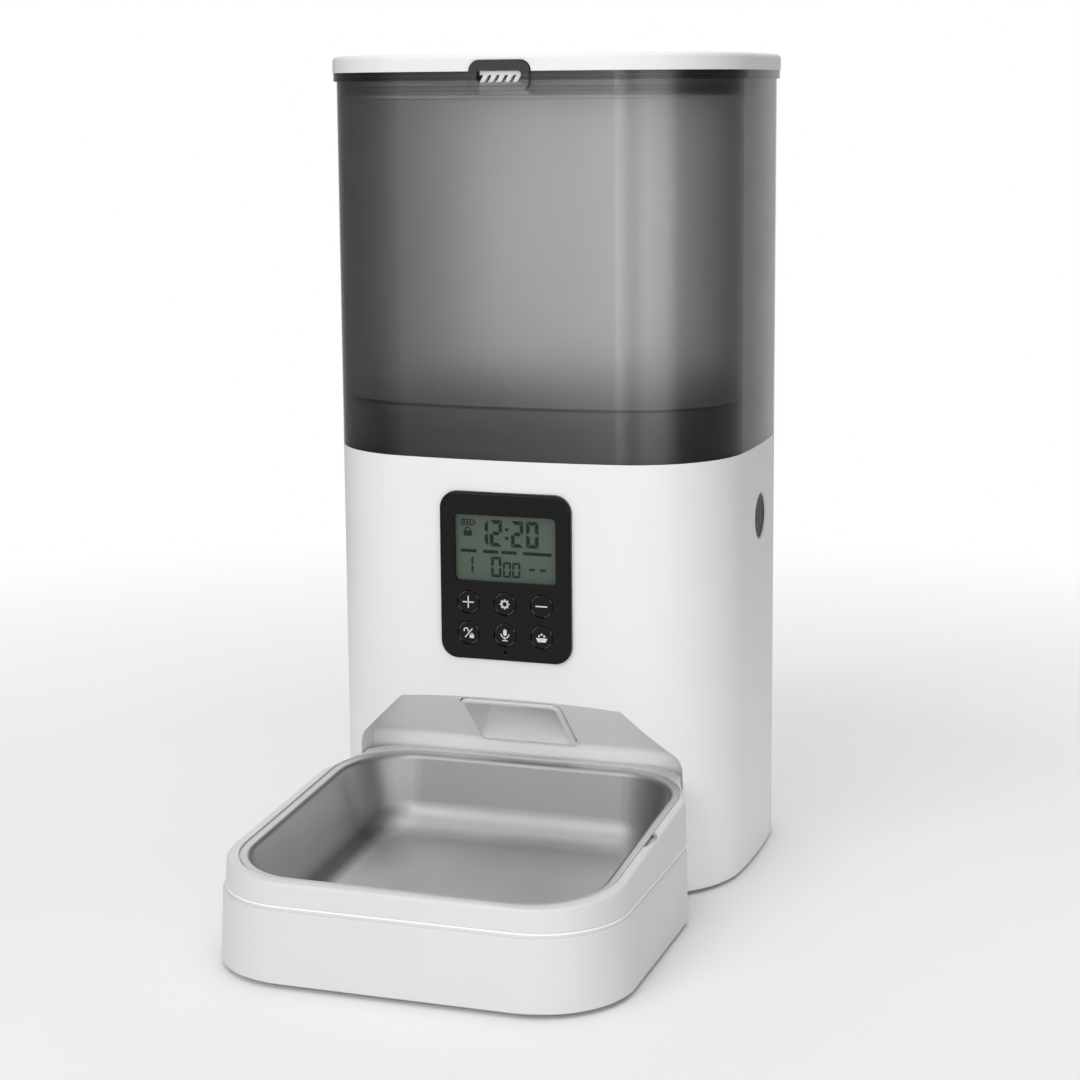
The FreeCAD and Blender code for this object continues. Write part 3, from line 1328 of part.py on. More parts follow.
def tray_block(name, low, height, width, front, corner, draft):
    """A drafted, round-cornered block that runs from the tray's front to behind its back."""
    body = new_body(name)
    back = from_body(S.tray_back_y) + 4
    sketch = body_sketch(body, name + "_outline", "XY_Plane", low)
    draw_rounded_rect(sketch, width, back - front, corner, 0, (back + front) / 2)
    pad(body, sketch, height, draft=draft)
    return body


def build_tray():
    low = S.foot_height
    seam = S.tray_seam_z
    wall = S.tray_wall
    front = from_body(S.tray_front_y)
    lower_run = math.tan(math.radians(S.tray_lower_draft.value))
    top_inset = (seam - low) * lower_run + S.tray_seam_step
    # lower shell: an open pan
    pan_edge, frame_edge = 0.7, 1.6
    pan_outer = tray_block("pan_outer", low, seam - low, S.tray_width, front, S.tray_corner,
                           S.tray_lower_draft)
    pan_soft = fillet("pan_soft", pan_outer, pan_edge,
                      lambda edge: min(abs(middle(edge).z - end) for end in (low.value, seam.value)) < 0.05)
    pan = common("pan_blank", pan_soft, tray_clearance("pan_limit"))
    inner_back = from_body(S.tray_back_y) - wall
    inset = wall + 1.2
    pan_width = S.tray_width - inset * 2
    pan_front = front + inset
    hollow = rounded_prism("pan_hollow", pan_width, inner_back - pan_front, S.tray_corner - inset, 0,
                           (inner_back + pan_front) / 2, low + wall, seam + 1)
    limit = tray_clearance("pan_hollow_limit")
    hollow_kept = common("pan_hollow_kept", hollow, narrowed("pan_hollow_neck"), limit)
    bosses = []
    holes = []
    for side in MIRROR:
        for x, y in TRAY_BOSSES:
            label = f"{y:g}_{side}"
            bosses.append(rod("pan_boss_" + label, S.tray_boss_radius, 20, side * x, from_body(y), low + 1))
            holes.append(rod("pan_boss_hole_" + label, 1.5, 40, side * x, from_body(y), low - 1))
            holes.append(rod("pan_boss_sink_" + label, 2.5, 2.6, side * x, from_body(y), low - 1))
    pan_shell = cut("pan_shell", pan, hollow_kept)
    bosses_kept = common("pan_bosses", fuse("pan_boss_set", *bosses), tray_clearance("pan_boss_limit"))
    keep(cut("tray_base_solid", fuse("pan_with_bosses", pan_shell, bosses_kept), *holes), "tray_base")

    # upper shell: the rim frame that carries the bowl
    top_width = S.tray_width - top_inset * 2
    frame_outer = tray_block("frame_outer", seam, 30, top_width, front + top_inset, S.tray_corner - top_inset,
                             S.tray_upper_draft)
    over_cut = rim_prism("rim_over_cut", 400, 400, 10, 0, 60)
    frame = cut("frame_blank", common("frame_limited", frame_outer, tray_clearance("frame_limit")), over_cut)
    soft = fillet("frame_soft", frame, frame_edge, lambda edge: on_rim_plane(edge) and edge.Length > 2)
    seat_gap = 0.8
    seat_floor = -(S.bowl_flange_drop + S.bowl_sheet + 0.05)
    inside = S.bowl_flange * 2
    seat = rim_prism("bowl_seat", S.bowl_width + seat_gap * 2, S.bowl_length + seat_gap * 2,
                     S.bowl_corner + seat_gap, seat_floor, 10)
    bend_room = 2.0
    through = rim_prism("bowl_opening", S.bowl_width - inside + bend_room * 2,
                        S.bowl_length - inside + bend_room * 2, S.bowl_corner - S.bowl_flange + bend_room,
                        -60, 10)
    under = common("frame_under", rim_prism("frame_under_blank", top_width - 7.4, S.bowl_length + 3.2,
                                            S.bowl_corner + 1.6, -60, seat_floor - 2.4),
                   narrowed("frame_under_neck"))
    posts = []
    pilots = []
    for side in MIRROR:
        for x, y in TRAY_BOSSES:
            label = f"{y:g}_{side}"
            posts.append(rod("frame_boss_" + label, S.tray_boss_radius, 18, side * x, from_body(y),
                             low + 21.2))
            pilots.append(rod("frame_pilot_" + label, 1.25, 14, side * x, from_body(y), low + 20))
    shell = cut("frame_shell", soft, under)
    posts_kept = common("frame_posts", fuse("frame_post_set", *posts), tray_clearance("frame_post_limit"))
    # finger notch beside the bowl's right edge
    past_bowl, notch_along = 4.1, -2.0
    notch_sketch = in_rim_plane(free_sketch("finger_notch_outline"), -S.notch_depth)
    draw_circle(notch_sketch, S.bowl_width / 2 + past_bowl - S.notch_radius, notch_along, S.notch_radius)
    notch = extrude("finger_notch", notch_sketch, 12)
    keep(cut("tray_frame_solid", fuse("frame_with_posts", shell, posts_kept), seat, through, notch, *pilots),
         "tray_frame")
    screws = [pan_screw(f"tray_screw_{y:g}_{side}", 26, side * x, from_body(y), low + 0.1,
                        radius=1.2, head_radius=2.3) for side in MIRROR for x, y in TRAY_BOSSES]
    keep(group("tray_screw_set", *screws), "tray_screws")
    feet = [foot_pad(f"tray_foot_{side}_{y:g}", 6.0, side * x, from_body(y))
            for side in MIRROR for x, y in ((58.0, -200.0), (58.0, -82.0))]
    keep(group("tray_foot_set", *feet), "tray_feet")


def narrowed(name):
    """Plan limit for the tray's hollows: the clearance shape brought in by the wall."""
    wall = S.tray_wall
    neck = S.tray_neck_half_width - wall
    edge = S.tray_edge_x
    turn_y, neck_y = from_body(S.tray_edge_y) - 5.0, from_body(S.tray_neck_y) - 5.0
    back = from_body(S.tray_back_y) - wall
    far = from_body(S.tray_front_y) - 10
    sketch = draw_polygon(free_sketch(name + "_plan", "XY", -1), [
        (-edge, far),
        (edge, far),
        (edge, turn_y - 2),
        (neck, neck_y),
        (neck, back),
        (-neck, back),
        (-neck, neck_y),
        (-edge, turn_y - 2),
    ])
    return extrude(name, sketch, 90)


def on_rim_plane(edge):
    """True for edges that lie in the tray rim's tilted top plane."""
    tilt = math.radians(S.bowl_tilt.value)
    point = middle(edge)
    rise = (point.y - from_body(S.bowl_y).value) * math.tan(tilt)
    return abs(point.z - S.bowl_rim_z.value - rise) < 0.1


def build_bowl():
    """Pressed steel bowl: drafted sides, a wide round floor edge and a flange that rolls into the sides."""
    sheet_gauge = S.bowl_sheet
    inside = S.bowl_flange * 2
    mouth_width = S.bowl_width - inside
    mouth_length = S.bowl_length - inside
    mouth_corner = S.bowl_corner - S.bowl_flange
    skins = {}
    for name, inset in (("outer", 0.0), ("inner", sheet_gauge.value)):
        body = new_body(f"bowl_{name}")
        sketch = body_sketch(body, f"bowl_{name}_mouth", "XY_Plane", 0)
        draw_rounded_rect(sketch, mouth_width - inset * 2, mouth_length - inset * 2, mouth_corner - inset)
        press = pad(body, sketch, S.bowl_depth - inset, backwards=True, draft=S.bowl_draft)
        doc.recompute()
        floor_edges = [f"Edge{i}" for i, edge in enumerate(press.Shape.Edges, start=1)
                       if abs(middle(edge).z + S.bowl_depth.value - inset) < 0.05]
        round_floor = body.newObject("PartDesign::Fillet", f"bowl_{name}_floor")
        round_floor.Base = (press, floor_edges)
        round_floor.setExpression("Radius", (S.bowl_floor_radius - inset).text)
        skins[name] = in_rim_plane(body, 0)
    lip = rim_prism("bowl_flange_plate", S.bowl_width, S.bowl_length, S.bowl_corner,
                    -(S.bowl_flange_drop + sheet_gauge), -S.bowl_flange_drop)
    bent_under = fillet("bowl_bend_under", fuse("bowl_blank", skins["outer"], lip),
                        S.bowl_lip_radius - sheet_gauge,
                        lambda edge: on_bowl_mouth(edge, -(S.bowl_flange_drop + sheet_gauge).value))
    above = rim_prism("bowl_space_above", S.bowl_width + 10, S.bowl_length + 10, S.bowl_corner + 5,
                      -S.bowl_flange_drop, 10)
    bent_space = fillet("bowl_bend_over", fuse("bowl_space", skins["inner"], above), S.bowl_lip_radius,
                        lambda edge: on_bowl_mouth(edge, -S.bowl_flange_drop.value))
    keep(cut("food_bowl_solid", bent_under, bent_space), "food_bowl")


def on_bowl_mouth(edge, height):
    """True for the edges where the bowl's side meets the flange, at a height measured from the rim plane."""
    tilt = math.radians(S.bowl_tilt.value)
    point = middle(edge)
    back, up = point.y - from_body(S.bowl_y).value, point.z - S.bowl_rim_z.value
    along = back * math.cos(tilt) + up * math.sin(tilt)
    corner = S.bowl_corner.value
    past_x = max(abs(point.x) - S.bowl_width.value / 2 + corner, 0)
    past_y = max(abs(along) - S.bowl_length.value / 2 + corner, 0)
    from_edge = corner - math.hypot(past_x, past_y)
    level = up * math.cos(tilt) - back * math.sin(tilt)
    return abs(level - height) < 0.05 and from_edge > S.bowl_flange.value / 2


# ---------------------------------------------------------------- build, check and write

build_housing()
build_base_plate()
build_speaker()
build_battery_bay()
build_chamber()
build_chute()
build_wheel()
build_drive()
build_panel()
build_socket()
build_release(1, "right")
build_release(-1, "left")
build_release_guides()
build_tank()
build_lid()
build_catch()
build_hinge_pin()
build_desiccant()
build_tray()
build_bowl()

doc.recompute()

failed = [obj.Name for obj in doc.Objects if "Invalid" in obj.State or "Error" in obj.State]
for node, obj in sub_parts.items():
    if obj.Shape.isNull() or not obj.Shape.isValid() or obj.Shape.Volume <= 0:
        failed.append(node)
if failed:
    raise RuntimeError("failed features: " + ", ".join(failed))

os.makedirs("parts", exist_ok=True)
for node, obj in sub_parts.items():
    obj.Shape.exportStep(f"parts/{node}.step")
    box = obj.Shape.BoundBox
    low = f"{box.XMin:7.1f} {box.YMin:7.1f} {box.ZMin:7.1f}"
    high = f"{box.XMax:7.1f} {box.YMax:7.1f} {box.ZMax:7.1f}"
    print(f"{node:22s} {len(obj.Shape.Solids)} solids {obj.Shape.Volume / 1000:8.2f} cm3 {low} to {high}")
print(len(sub_parts), "nodes")
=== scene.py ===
"""Looks of the pet feeder.

Finishes for every CAD piece, the display's marks, the key symbols and glints, the ribs of the side buttons,
copies of the springs, the light and the camera.
"""

import json
import math

import bmesh
import bpy
from mathutils import Matrix, Vector

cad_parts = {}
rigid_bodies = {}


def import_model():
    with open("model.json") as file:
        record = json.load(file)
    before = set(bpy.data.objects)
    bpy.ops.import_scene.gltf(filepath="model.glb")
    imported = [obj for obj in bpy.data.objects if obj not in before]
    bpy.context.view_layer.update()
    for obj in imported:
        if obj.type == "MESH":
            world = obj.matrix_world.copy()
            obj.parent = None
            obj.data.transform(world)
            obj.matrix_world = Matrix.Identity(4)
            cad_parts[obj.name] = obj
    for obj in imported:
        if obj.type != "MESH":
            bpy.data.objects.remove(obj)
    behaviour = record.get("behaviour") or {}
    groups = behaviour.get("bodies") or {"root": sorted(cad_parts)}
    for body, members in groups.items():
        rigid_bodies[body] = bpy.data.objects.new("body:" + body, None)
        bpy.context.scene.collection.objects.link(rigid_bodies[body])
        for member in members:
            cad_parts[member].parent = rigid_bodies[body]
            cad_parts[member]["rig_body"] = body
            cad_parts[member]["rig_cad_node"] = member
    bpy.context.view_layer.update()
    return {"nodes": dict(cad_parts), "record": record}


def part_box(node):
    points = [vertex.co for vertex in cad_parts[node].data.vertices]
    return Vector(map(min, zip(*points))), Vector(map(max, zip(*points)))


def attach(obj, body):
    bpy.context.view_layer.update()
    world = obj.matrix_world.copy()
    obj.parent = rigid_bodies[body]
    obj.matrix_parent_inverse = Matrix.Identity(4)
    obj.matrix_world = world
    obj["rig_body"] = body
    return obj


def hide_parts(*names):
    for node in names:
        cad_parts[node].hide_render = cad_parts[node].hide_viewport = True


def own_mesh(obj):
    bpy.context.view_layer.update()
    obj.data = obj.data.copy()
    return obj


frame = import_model()
NODES = frame["nodes"]
BODY_OF = {node["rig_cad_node"]: node["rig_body"] for node in NODES.values()}
MM = 0.001


# ---------------------------------------------------------------- materials


class Finish:
    """A Principled material with a kit of object-space nodes."""

    def __init__(self, name, **sockets):
        self.material = bpy.data.materials.new(name)
        self.material.use_nodes = True
        self.tree = self.material.node_tree
        self.shader = self.tree.nodes["Principled BSDF"]
        places = self.tree.nodes.new("ShaderNodeTexCoord")
        self.coords, self.facing = places.outputs["Object"], places.outputs["Normal"]
        for key, value in sockets.items():
            self.set(key.replace("_", " ").title(), value)

    def set(self, socket, value):
        fixed = {"Ior": "IOR", "Coat Ior": "Coat IOR", "Specular": "Specular IOR Level"}
        self.shader.inputs[fixed.get(socket, socket)].default_value = value

    def node(self, kind, **props):
        made = self.tree.nodes.new(kind)
        for key, value in props.items():
            setattr(made, key, value)
        return made

    def link(self, output, target):
        self.tree.links.new(output, target)

    def stretched(self, scale):
        """Object coordinates, stretched by a vector."""
        mapping = self.node("ShaderNodeMapping")
        mapping.inputs["Scale"].default_value = scale
        self.link(self.coords, mapping.inputs["Vector"])
        return mapping.outputs["Vector"]

    def noise(self, scale, detail=3.0, rough=0.55, stretch=None):
        made = self.node("ShaderNodeTexNoise")
        made.inputs["Scale"].default_value = scale
        made.inputs["Detail"].default_value = detail
        made.inputs["Roughness"].default_value = rough
        self.link(self.stretched(stretch) if stretch else self.coords, made.inputs["Vector"])
        return made.outputs["Fac"]

    def spread(self, value, low, high, start=0.3, end=0.7):
        """value, clamped and spread from low to high."""
        made = self.node("ShaderNodeMapRange")
        made.inputs["From Min"].default_value = start
        made.inputs["From Max"].default_value = end
        made.inputs["To Min"].default_value = low
        made.inputs["To Max"].default_value = high
        self.link(value, made.inputs["Value"])
        return made.outputs["Result"]

    def blend_colours(self, factor, first, second):
        made = self.node("ShaderNodeMix", data_type="RGBA")
        self.link(factor, made.inputs["Factor"])
        for socket, colour in ((6, first), (7, second)):
            made.inputs[socket].default_value = (*colour, 1.0)
        return made.outputs[2]

    def towards(self, factor, colour, second):
        """colour, turned into a second colour by factor."""
        made = self.node("ShaderNodeMix", data_type="RGBA")
        self.link(factor, made.inputs["Factor"])
        self.link(colour, made.inputs[6])
        made.inputs[7].default_value = (*second, 1.0)
        return made.outputs[2]

    def split(self, vector):
        made = self.node("ShaderNodeSeparateXYZ")
        self.link(vector, made.inputs[0])
        return made.outputs

    def maths(self, operation, *values):
        made = self.node("ShaderNodeMath", operation=operation)
        for socket, value in zip(made.inputs, values):
            if isinstance(value, float):
                socket.default_value = value
            else:
                self.link(value, socket)
        return made.outputs[0]

    def absolute(self, value):
        return self.maths("ABSOLUTE", value)

    def band(self, value, low, high, soft=0.0002):
        """One between low and high, with soft edges, and zero elsewhere."""
        rising = self.spread(value, 0.0, 1.0, low, low + soft)
        return self.maths("MULTIPLY", rising, self.spread(value, 1.0, 0.0, high - soft, high))

    def colour(self, factor, first, second):
        self.link(self.blend_colours(factor, first, second), self.shader.inputs["Base Color"])

    def roughness(self, value):
        self.link(value, self.shader.inputs["Roughness"])

    def bump(self, height, strength, distance):
        made = self.node("ShaderNodeBump")
        made.inputs["Strength"].default_value = strength
        made.inputs["Distance"].default_value = distance
        self.link(height, made.inputs["Height"])
        self.link(made.outputs["Normal"], self.shader.inputs["Normal"])


def moulded(name, light, dark, rough=(0.36, 0.5), grain=2600.0, depth=0.00004, cloud=9.0, **sockets):
    """Injection-moulded plastic: broad shade drift, fine spark-eroded grain."""
    finish = Finish(name, **sockets)
    drift = finish.spread(finish.noise(cloud, 2.0), 0.0, 1.0)
    finish.colour(drift, dark, light)
    finish.roughness(finish.spread(finish.noise(60.0, 4.0), *rough))
    finish.bump(finish.noise(grain, 2.0), 0.35, depth)
    return finish


def metal(name, light, dark, rough, stretch, scale, depth, **sockets):
    """Metal with drawn or turned streaks along one direction."""
    finish = Finish(name, metallic=1.0, **sockets)
    streaks = finish.noise(scale, 5.0, 0.6, stretch)
    finish.colour(finish.spread(streaks, 0.0, 1.0), dark, light)
    finish.roughness(finish.spread(streaks, *rough))
    finish.bump(streaks, 0.3, depth)
    return finish


def grey(value):
    return (value, value, value)


def make_tray():
    """The shell's plastic again, with a pale line, a painted highlight, and a thin dark one along the tray's
    seam.
    """
    finish = Finish("white_abs_tray")
    drift = finish.spread(finish.noise(9.0, 2.0), 0.0, 1.0)
    tone = finish.blend_colours(drift, grey(0.68), grey(0.70))
    height = finish.split(finish.coords)["Z"]
    # the pale line is a painted highlight on the lower shell's rounded top edge at the seam
    painted_seam_highlight, dark_line = (0.0342, 0.0350), (0.0351, 0.0354)
    for line, shade in ((painted_seam_highlight, 0.97), (dark_line, 0.45)):
        tone = finish.towards(finish.band(height, *line), tone, grey(shade))
    finish.link(tone, finish.shader.inputs["Base Color"])
    finish.roughness(finish.spread(finish.noise(60.0, 4.0), 0.36, 0.5))
    finish.bump(finish.noise(2600.0, 2.0), 0.35, 0.00004)
    return finish


def make_tank():
    """Smoky, frosted, see-through plastic, with painted shade at the sides and at the foot, darker at the
    flange, and a painted highlight along the flange's step.
    """
    foot_low, foot_high = 0.203, 0.236
    lines_low, flange_low, flange_full = 0.3615, 0.3700, 0.3708
    step_low, step_high = 0.3722, 0.3728
    line_pitch = 0.0018
    finish = Finish(
        "smoky_tank_frosted",
        transmission_weight=1.0,
        ior=1.30,
        coat_weight=1.0,
        coat_roughness=0.24,
    )
    height = finish.split(finish.coords)["Z"]
    # painted shade: the tank is darker where its walls turn sideways, as the side walls fall into shade
    sideways = finish.absolute(finish.split(finish.facing)["X"])
    turned = finish.spread(sideways, 0.0, 1.0, 0.10, 0.95)
    # painted shade: darker towards the foot, where the funnel and the housing leave the inside dark behind
    # the wall
    foot = finish.spread(height, 1.0, 0.0, foot_low, foot_high)
    flange = finish.spread(height, 0.0, 1.0, flange_low, flange_full)
    # moulded lines round the mouth, and a painted highlight: the paler line along the step in the middle of
    # the flange
    ripple = finish.maths("SINE", finish.maths("MULTIPLY", height, 2 * math.pi / line_pitch))
    crests = finish.spread(ripple, 0.0, 0.6, 0.0, 0.9)
    lines = finish.maths("MULTIPLY", crests, finish.band(height, lines_low, flange_low))
    # painted highlight along the flange's step
    step = finish.band(height, step_low, step_high)
    cloud = finish.spread(finish.noise(7.0, 2.0), 0.0, 1.0)
    tone = finish.blend_colours(cloud, grey(0.58), grey(0.62))
    for mask, dark in ((turned, 0.24), (foot, 0.30), (lines, 0.28), (flange, 0.05), (step, 0.22)):
        tone = finish.towards(mask, tone, grey(dark))
    finish.link(tone, finish.shader.inputs["Base Color"])
    finish.roughness(finish.spread(finish.noise(45.0, 4.0), 0.36, 0.44))
    finish.bump(finish.noise(1900.0, 3.0), 0.4, 0.00005)
    return finish


def make_bowl():
    """Stainless steel, satin inside, with painted shade where the sides bend into the floor and at the rear.
    """
    finish = Finish("bowl_steel_satin", metallic=1.0)
    grain = finish.noise(420.0, 4.0, 0.6)
    smear = finish.noise(14.0, 3.0, 0.5)
    tone = finish.blend_colours(finish.spread(smear, 0.0, 1.0), grey(0.64), grey(0.72))
    # painted shade: the sloping sides and the inside of the rear wall are darkened by where they face
    faces = finish.split(finish.facing)
    leaning = finish.absolute(faces["X"])
    past_floor = finish.spread(leaning, 0.0, 1.0, 0.15, 0.5)
    before_wall = finish.spread(leaning, 1.0, 0.0, 0.7, 0.97)
    sides = finish.maths("MULTIPLY", past_floor, before_wall)
    rear = finish.spread(faces["Y"], 1.0, 0.0, -0.95, -0.3)
    for mask, dark in ((sides, 0.20), (rear, 0.36)):
        tone = finish.towards(mask, tone, grey(dark))
    finish.link(tone, finish.shader.inputs["Base Color"])
    finish.roughness(finish.spread(smear, 0.42, 0.54))
    finish.bump(grain, 0.12, 0.00004)
    return finish


def make_window():
    """The display's clear cover."""
    finish = Finish("lcd_window_clear", alpha=0.07, ior=1.5)
    finish.colour(finish.spread(finish.noise(20.0), 0.0, 1.0), grey(0.02), grey(0.03))
    finish.roughness(finish.spread(finish.noise(90.0, 4.0), 0.03, 0.09))
    return finish


def make_display():
    """Grey-green liquid-crystal glass with a fine cell pattern."""
    finish = Finish("lcd_panel_green", specular=0.3)
    cells = finish.spread(finish.noise(30.0, 2.0), 0.0, 1.0)
    finish.colour(cells, (0.084, 0.118, 0.088), (0.104, 0.140, 0.106))
    finish.roughness(finish.spread(finish.noise(200.0, 2.0), 0.45, 0.55))
    finish.bump(finish.noise(6000.0, 1.0), 0.1, 0.00002)
    return finish


FINISHES = {
    "white_shell": moulded("white_abs_satin", grey(0.86), grey(0.84)),
    "white_tray": make_tray(),
    "smoky_tank": make_tank(),
    "black_gloss": moulded(
        "black_gloss_panel", grey(0.012), grey(0.009), (0.07, 0.14), 900.0, 0.000004, specular=0.11
    ),
    "black_plastic": moulded("black_abs_matt", grey(0.03), grey(0.022), (0.45, 0.6)),
    "grey_plastic": moulded("grey_abs", grey(0.34), grey(0.30), (0.4, 0.55)),
    "grey_button": moulded("grey_button_satin", grey(0.045), grey(0.036), (0.38, 0.5)),
    "wheel_plastic": moulded("wheel_soft_grey", grey(0.20), grey(0.16), (0.5, 0.65), 1500.0, 0.00008),
    "gear_plastic": moulded("acetal_natural", (0.80, 0.78, 0.70), (0.74, 0.71, 0.62), (0.3, 0.42)),
    "bush_brass": metal(
        "brass_sintered", (0.70, 0.53, 0.27), (0.56, 0.41, 0.19), (0.3, 0.45), (1, 1, 8), 500.0, 0.00003
    ),
    "motor_can": metal("steel_plated_can", grey(0.60), grey(0.50), (0.25, 0.38), (1, 1, 12), 260.0, 0.00002),
    "contact_steel": metal("nickel_plated", grey(0.70), grey(0.60), (0.15, 0.28), (6, 1, 1), 400.0, 0.00001),
    "screw_steel": metal("zinc_plated", grey(0.55), grey(0.42), (0.3, 0.45), (1, 1, 5), 700.0, 0.00003),
    "cell_jacket": moulded("cell_jacket_grey", (0.13, 0.14, 0.17), (0.10, 0.11, 0.13), (0.25, 0.35)),
    "board_green": moulded("board_solder_mask", (0.03, 0.17, 0.08), (0.02, 0.12, 0.06), (0.3, 0.42)),
    "lcd_window": make_window(),
    "lcd_glass": make_display(),
    "foot_rubber": moulded("rubber_matt", grey(0.045), grey(0.03), (0.7, 0.85), 1400.0, 0.0001),
    "seal_silicone": moulded("silicone_grey", grey(0.34), grey(0.29), (0.5, 0.62), 1200.0, 0.00005),
    "bowl_steel": make_bowl(),
}

for row in frame["record"]["subparts"]:
    mesh = NODES[row["node"]].data
    in_tray = row["node"].startswith("tray") and row["material_slot"] == "white_shell"
    mesh.materials.clear()
    mesh.materials.append(FINISHES["white_tray" if in_tray else row["material_slot"]].material)


def ink(name, light, dark, rough, **sockets):
    """The material of a printed mark, a raised rib or a painted highlight."""
    return moulded(name, light, dark, rough, 3000.0, 0.00001, **sockets).material


LCD_INK = ink("lcd_ink_dark", (0.012, 0.020, 0.014), (0.016, 0.026, 0.018), (0.5, 0.6), specular=0.1)
KEY_INK = ink("key_print_white", grey(0.72), grey(0.66), (0.4, 0.5))
# painted highlight: the colour of the glints on the keys' bevels
KEY_GLINT = ink("key_bevel_glint", grey(0.20), grey(0.12), (0.15, 0.25))
BUTTON_INK = ink("button_rib_grey", grey(0.14), grey(0.11), (0.35, 0.45))


# ---------------------------------------------------------------- flat marks


class Marks:
    """Thin raised plates on a front or side face, drawn in the face's own plane, in millimetres."""

    def __init__(self, name, body, material, slot, front, depth=0.06, facing="front"):
        self.name, self.body, self.material, self.slot = name, body, material, slot
        self.front, self.depth, self.facing = front, depth, facing
        self.mesh = bmesh.new()
        self.origin = (0.0, 0.0)

    def at(self, x, z):
        self.origin = (x, z)
        return self

    def place(self, x, out, z):
        """A point of the marked face, a distance out from it."""
        spots = {
            "front": (x, self.front - out, z),
            "right": (self.front + out, x, z),
            "left": (self.front - out, x, z),
        }
        return Vector(spots[self.facing]) * MM

    def plate(self, outline):
        """A prism on a closed outline, standing out from the marked face."""
        x0, z0 = self.origin
        rings = []
        for out in (self.depth, 0.0):
            rings.append([self.mesh.verts.new(self.place(x0 + x, out, z0 + z)) for x, z in outline])
        near, far = rings
        self.mesh.faces.new(near)
        self.mesh.faces.new(far[::-1])
        for i in range(len(outline)):
            j = (i + 1) % len(outline)
            self.mesh.faces.new((near[i], far[i], far[j], near[j]))

    def bar(self, start, end, width, round_ends=True):
        """A bar from start to end, with half-round ends."""
        (x0, z0), (x1, z1) = start, end
        turn = math.atan2(z1 - z0, x1 - x0)
        steps = 6 if round_ends else 1
        outline = []
        for (cx, cz), base in (((x1, z1), turn - math.pi / 2), ((x0, z0), turn + math.pi / 2)):
            for i in range(steps + 1):
                a = base + math.pi * i / steps
                outline.append((cx + width / 2 * math.cos(a), cz + width / 2 * math.sin(a)))
        self.plate(outline)

    def disc(self, centre, radius, count=28):
        turns = [2 * math.pi * i / count for i in range(count)]
        self.plate([(centre[0] + radius * math.cos(a), centre[1] + radius * math.sin(a)) for a in turns])

    def arc(self, centre, radius, width, start, end, count=20):
        """A curved band from one angle to another, in degrees."""
        outer, inner = [], []
        for i in range(count + 1):
            a = math.radians(start + (end - start) * i / count)
            for ring, r in ((outer, radius + width / 2), (inner, radius - width / 2)):
                ring.append((centre[0] + r * math.cos(a), centre[1] + r * math.sin(a)))
        self.plate(outer + inner[::-1])

    def ring(self, centre, radius, width):
        self.arc(centre, radius, width, 0, 180)
        self.arc(centre, radius, width, 180, 360)

    def done(self):
        bmesh.ops.recalc_face_normals(self.mesh, faces=self.mesh.faces)
        data = bpy.data.meshes.new(self.name)
        self.mesh.to_mesh(data)
        self.mesh.free()
        data.materials.append(self.material)
        piece = bpy.data.objects.new(self.name, data)
        bpy.context.scene.collection.objects.link(piece)
        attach(piece, self.body)


# Which of the seven segments each digit lights, in the order
# top, upper right, lower right, bottom, lower left, upper left, middle.
SEGMENTS = {"0": (0, 1, 2, 3, 4, 5), "1": (1, 2), "2": (0, 1, 6, 4, 3), "-": (6,)}


def segment_outlines(width, height, weight):
    """The seven mitred segment outlines of a digit centred on the origin."""
    w, h, t = width / 2, height / 2, weight
    gap = 0.12 * weight
    bite = 0.5 * t
    outer_x, middle_x, inner_x = w - gap, w - bite - gap, w - t - gap

    def end_bar(z, inward):
        """The top or bottom segment, mitred towards the middle."""
        return [(-outer_x, z), (outer_x, z), (inner_x, z + inward * t), (-inner_x, z + inward * t)]

    centre_bar = [
        (-middle_x, 0.0),
        (-inner_x, bite),
        (inner_x, bite),
        (middle_x, 0.0),
        (inner_x, -bite),
        (-inner_x, -bite),
    ]

    def upright(side, top, bottom, cut_top, cut_bottom):
        """A side segment, mitred fully at a cut end and by half at the middle."""
        x_out, x_in = side * w, side * (w - t)
        return [
            (x_out, top - gap),
            (x_out, bottom + gap),
            (x_in, bottom + gap + (t if cut_bottom else bite)),
            (x_in, top - gap - (t if cut_top else bite)),
        ]

    return [
        end_bar(h, -1),
        upright(1, h, 0.0, True, False),
        upright(1, 0.0, -h, False, True),
        end_bar(-h, 1),
        upright(-1, 0.0, -h, False, True),
        upright(-1, h, 0.0, True, False),
        centre_bar,
    ]


def digit(marks, char, centre, width, height, weight):
    """A seven-segment character with its middle at centre."""
    outlines = segment_outlines(width, height, weight)
    marks.at(*centre)
    for index in SEGMENTS[char]:
        marks.plate(outlines[index])


# What each line of the display shows: its characters, their places along it, how far its middle is
# below the window's top edge, and its digits' width, height and weight.
DISPLAY_LINES = (
    ("1220", (-11.6, -4.9, 5.3, 12.5), 8.35, (5.9, 12.2, 1.75)),
    ("1", (-18.2,), 23.6, (4.4, 8.4, 1.0)),
    ("0", (-4.9,), 23.9, (4.9, 9.4, 1.25)),
    ("00", (0.2, 4.7), 25.0, (3.9, 7.2, 1.05)),
    ("--", (12.1, 17.5), 24.3, (4.6, 6.0, 1.1)),
)


def draw_colon(marks):
    for drop in (6.4, 10.4):
        marks.disc((0.3, -drop), 0.85)


def draw_word_bars(marks):
    """A plain bar for each small word between the two lines."""
    row, weight = -17.0, 1.5
    for start, end in ((-21.9, -14.3), (-11.3, -3.9), (-2.5, 5.0), (8.0, 21.6)):
        marks.bar((start, row), (end, row), weight, False)


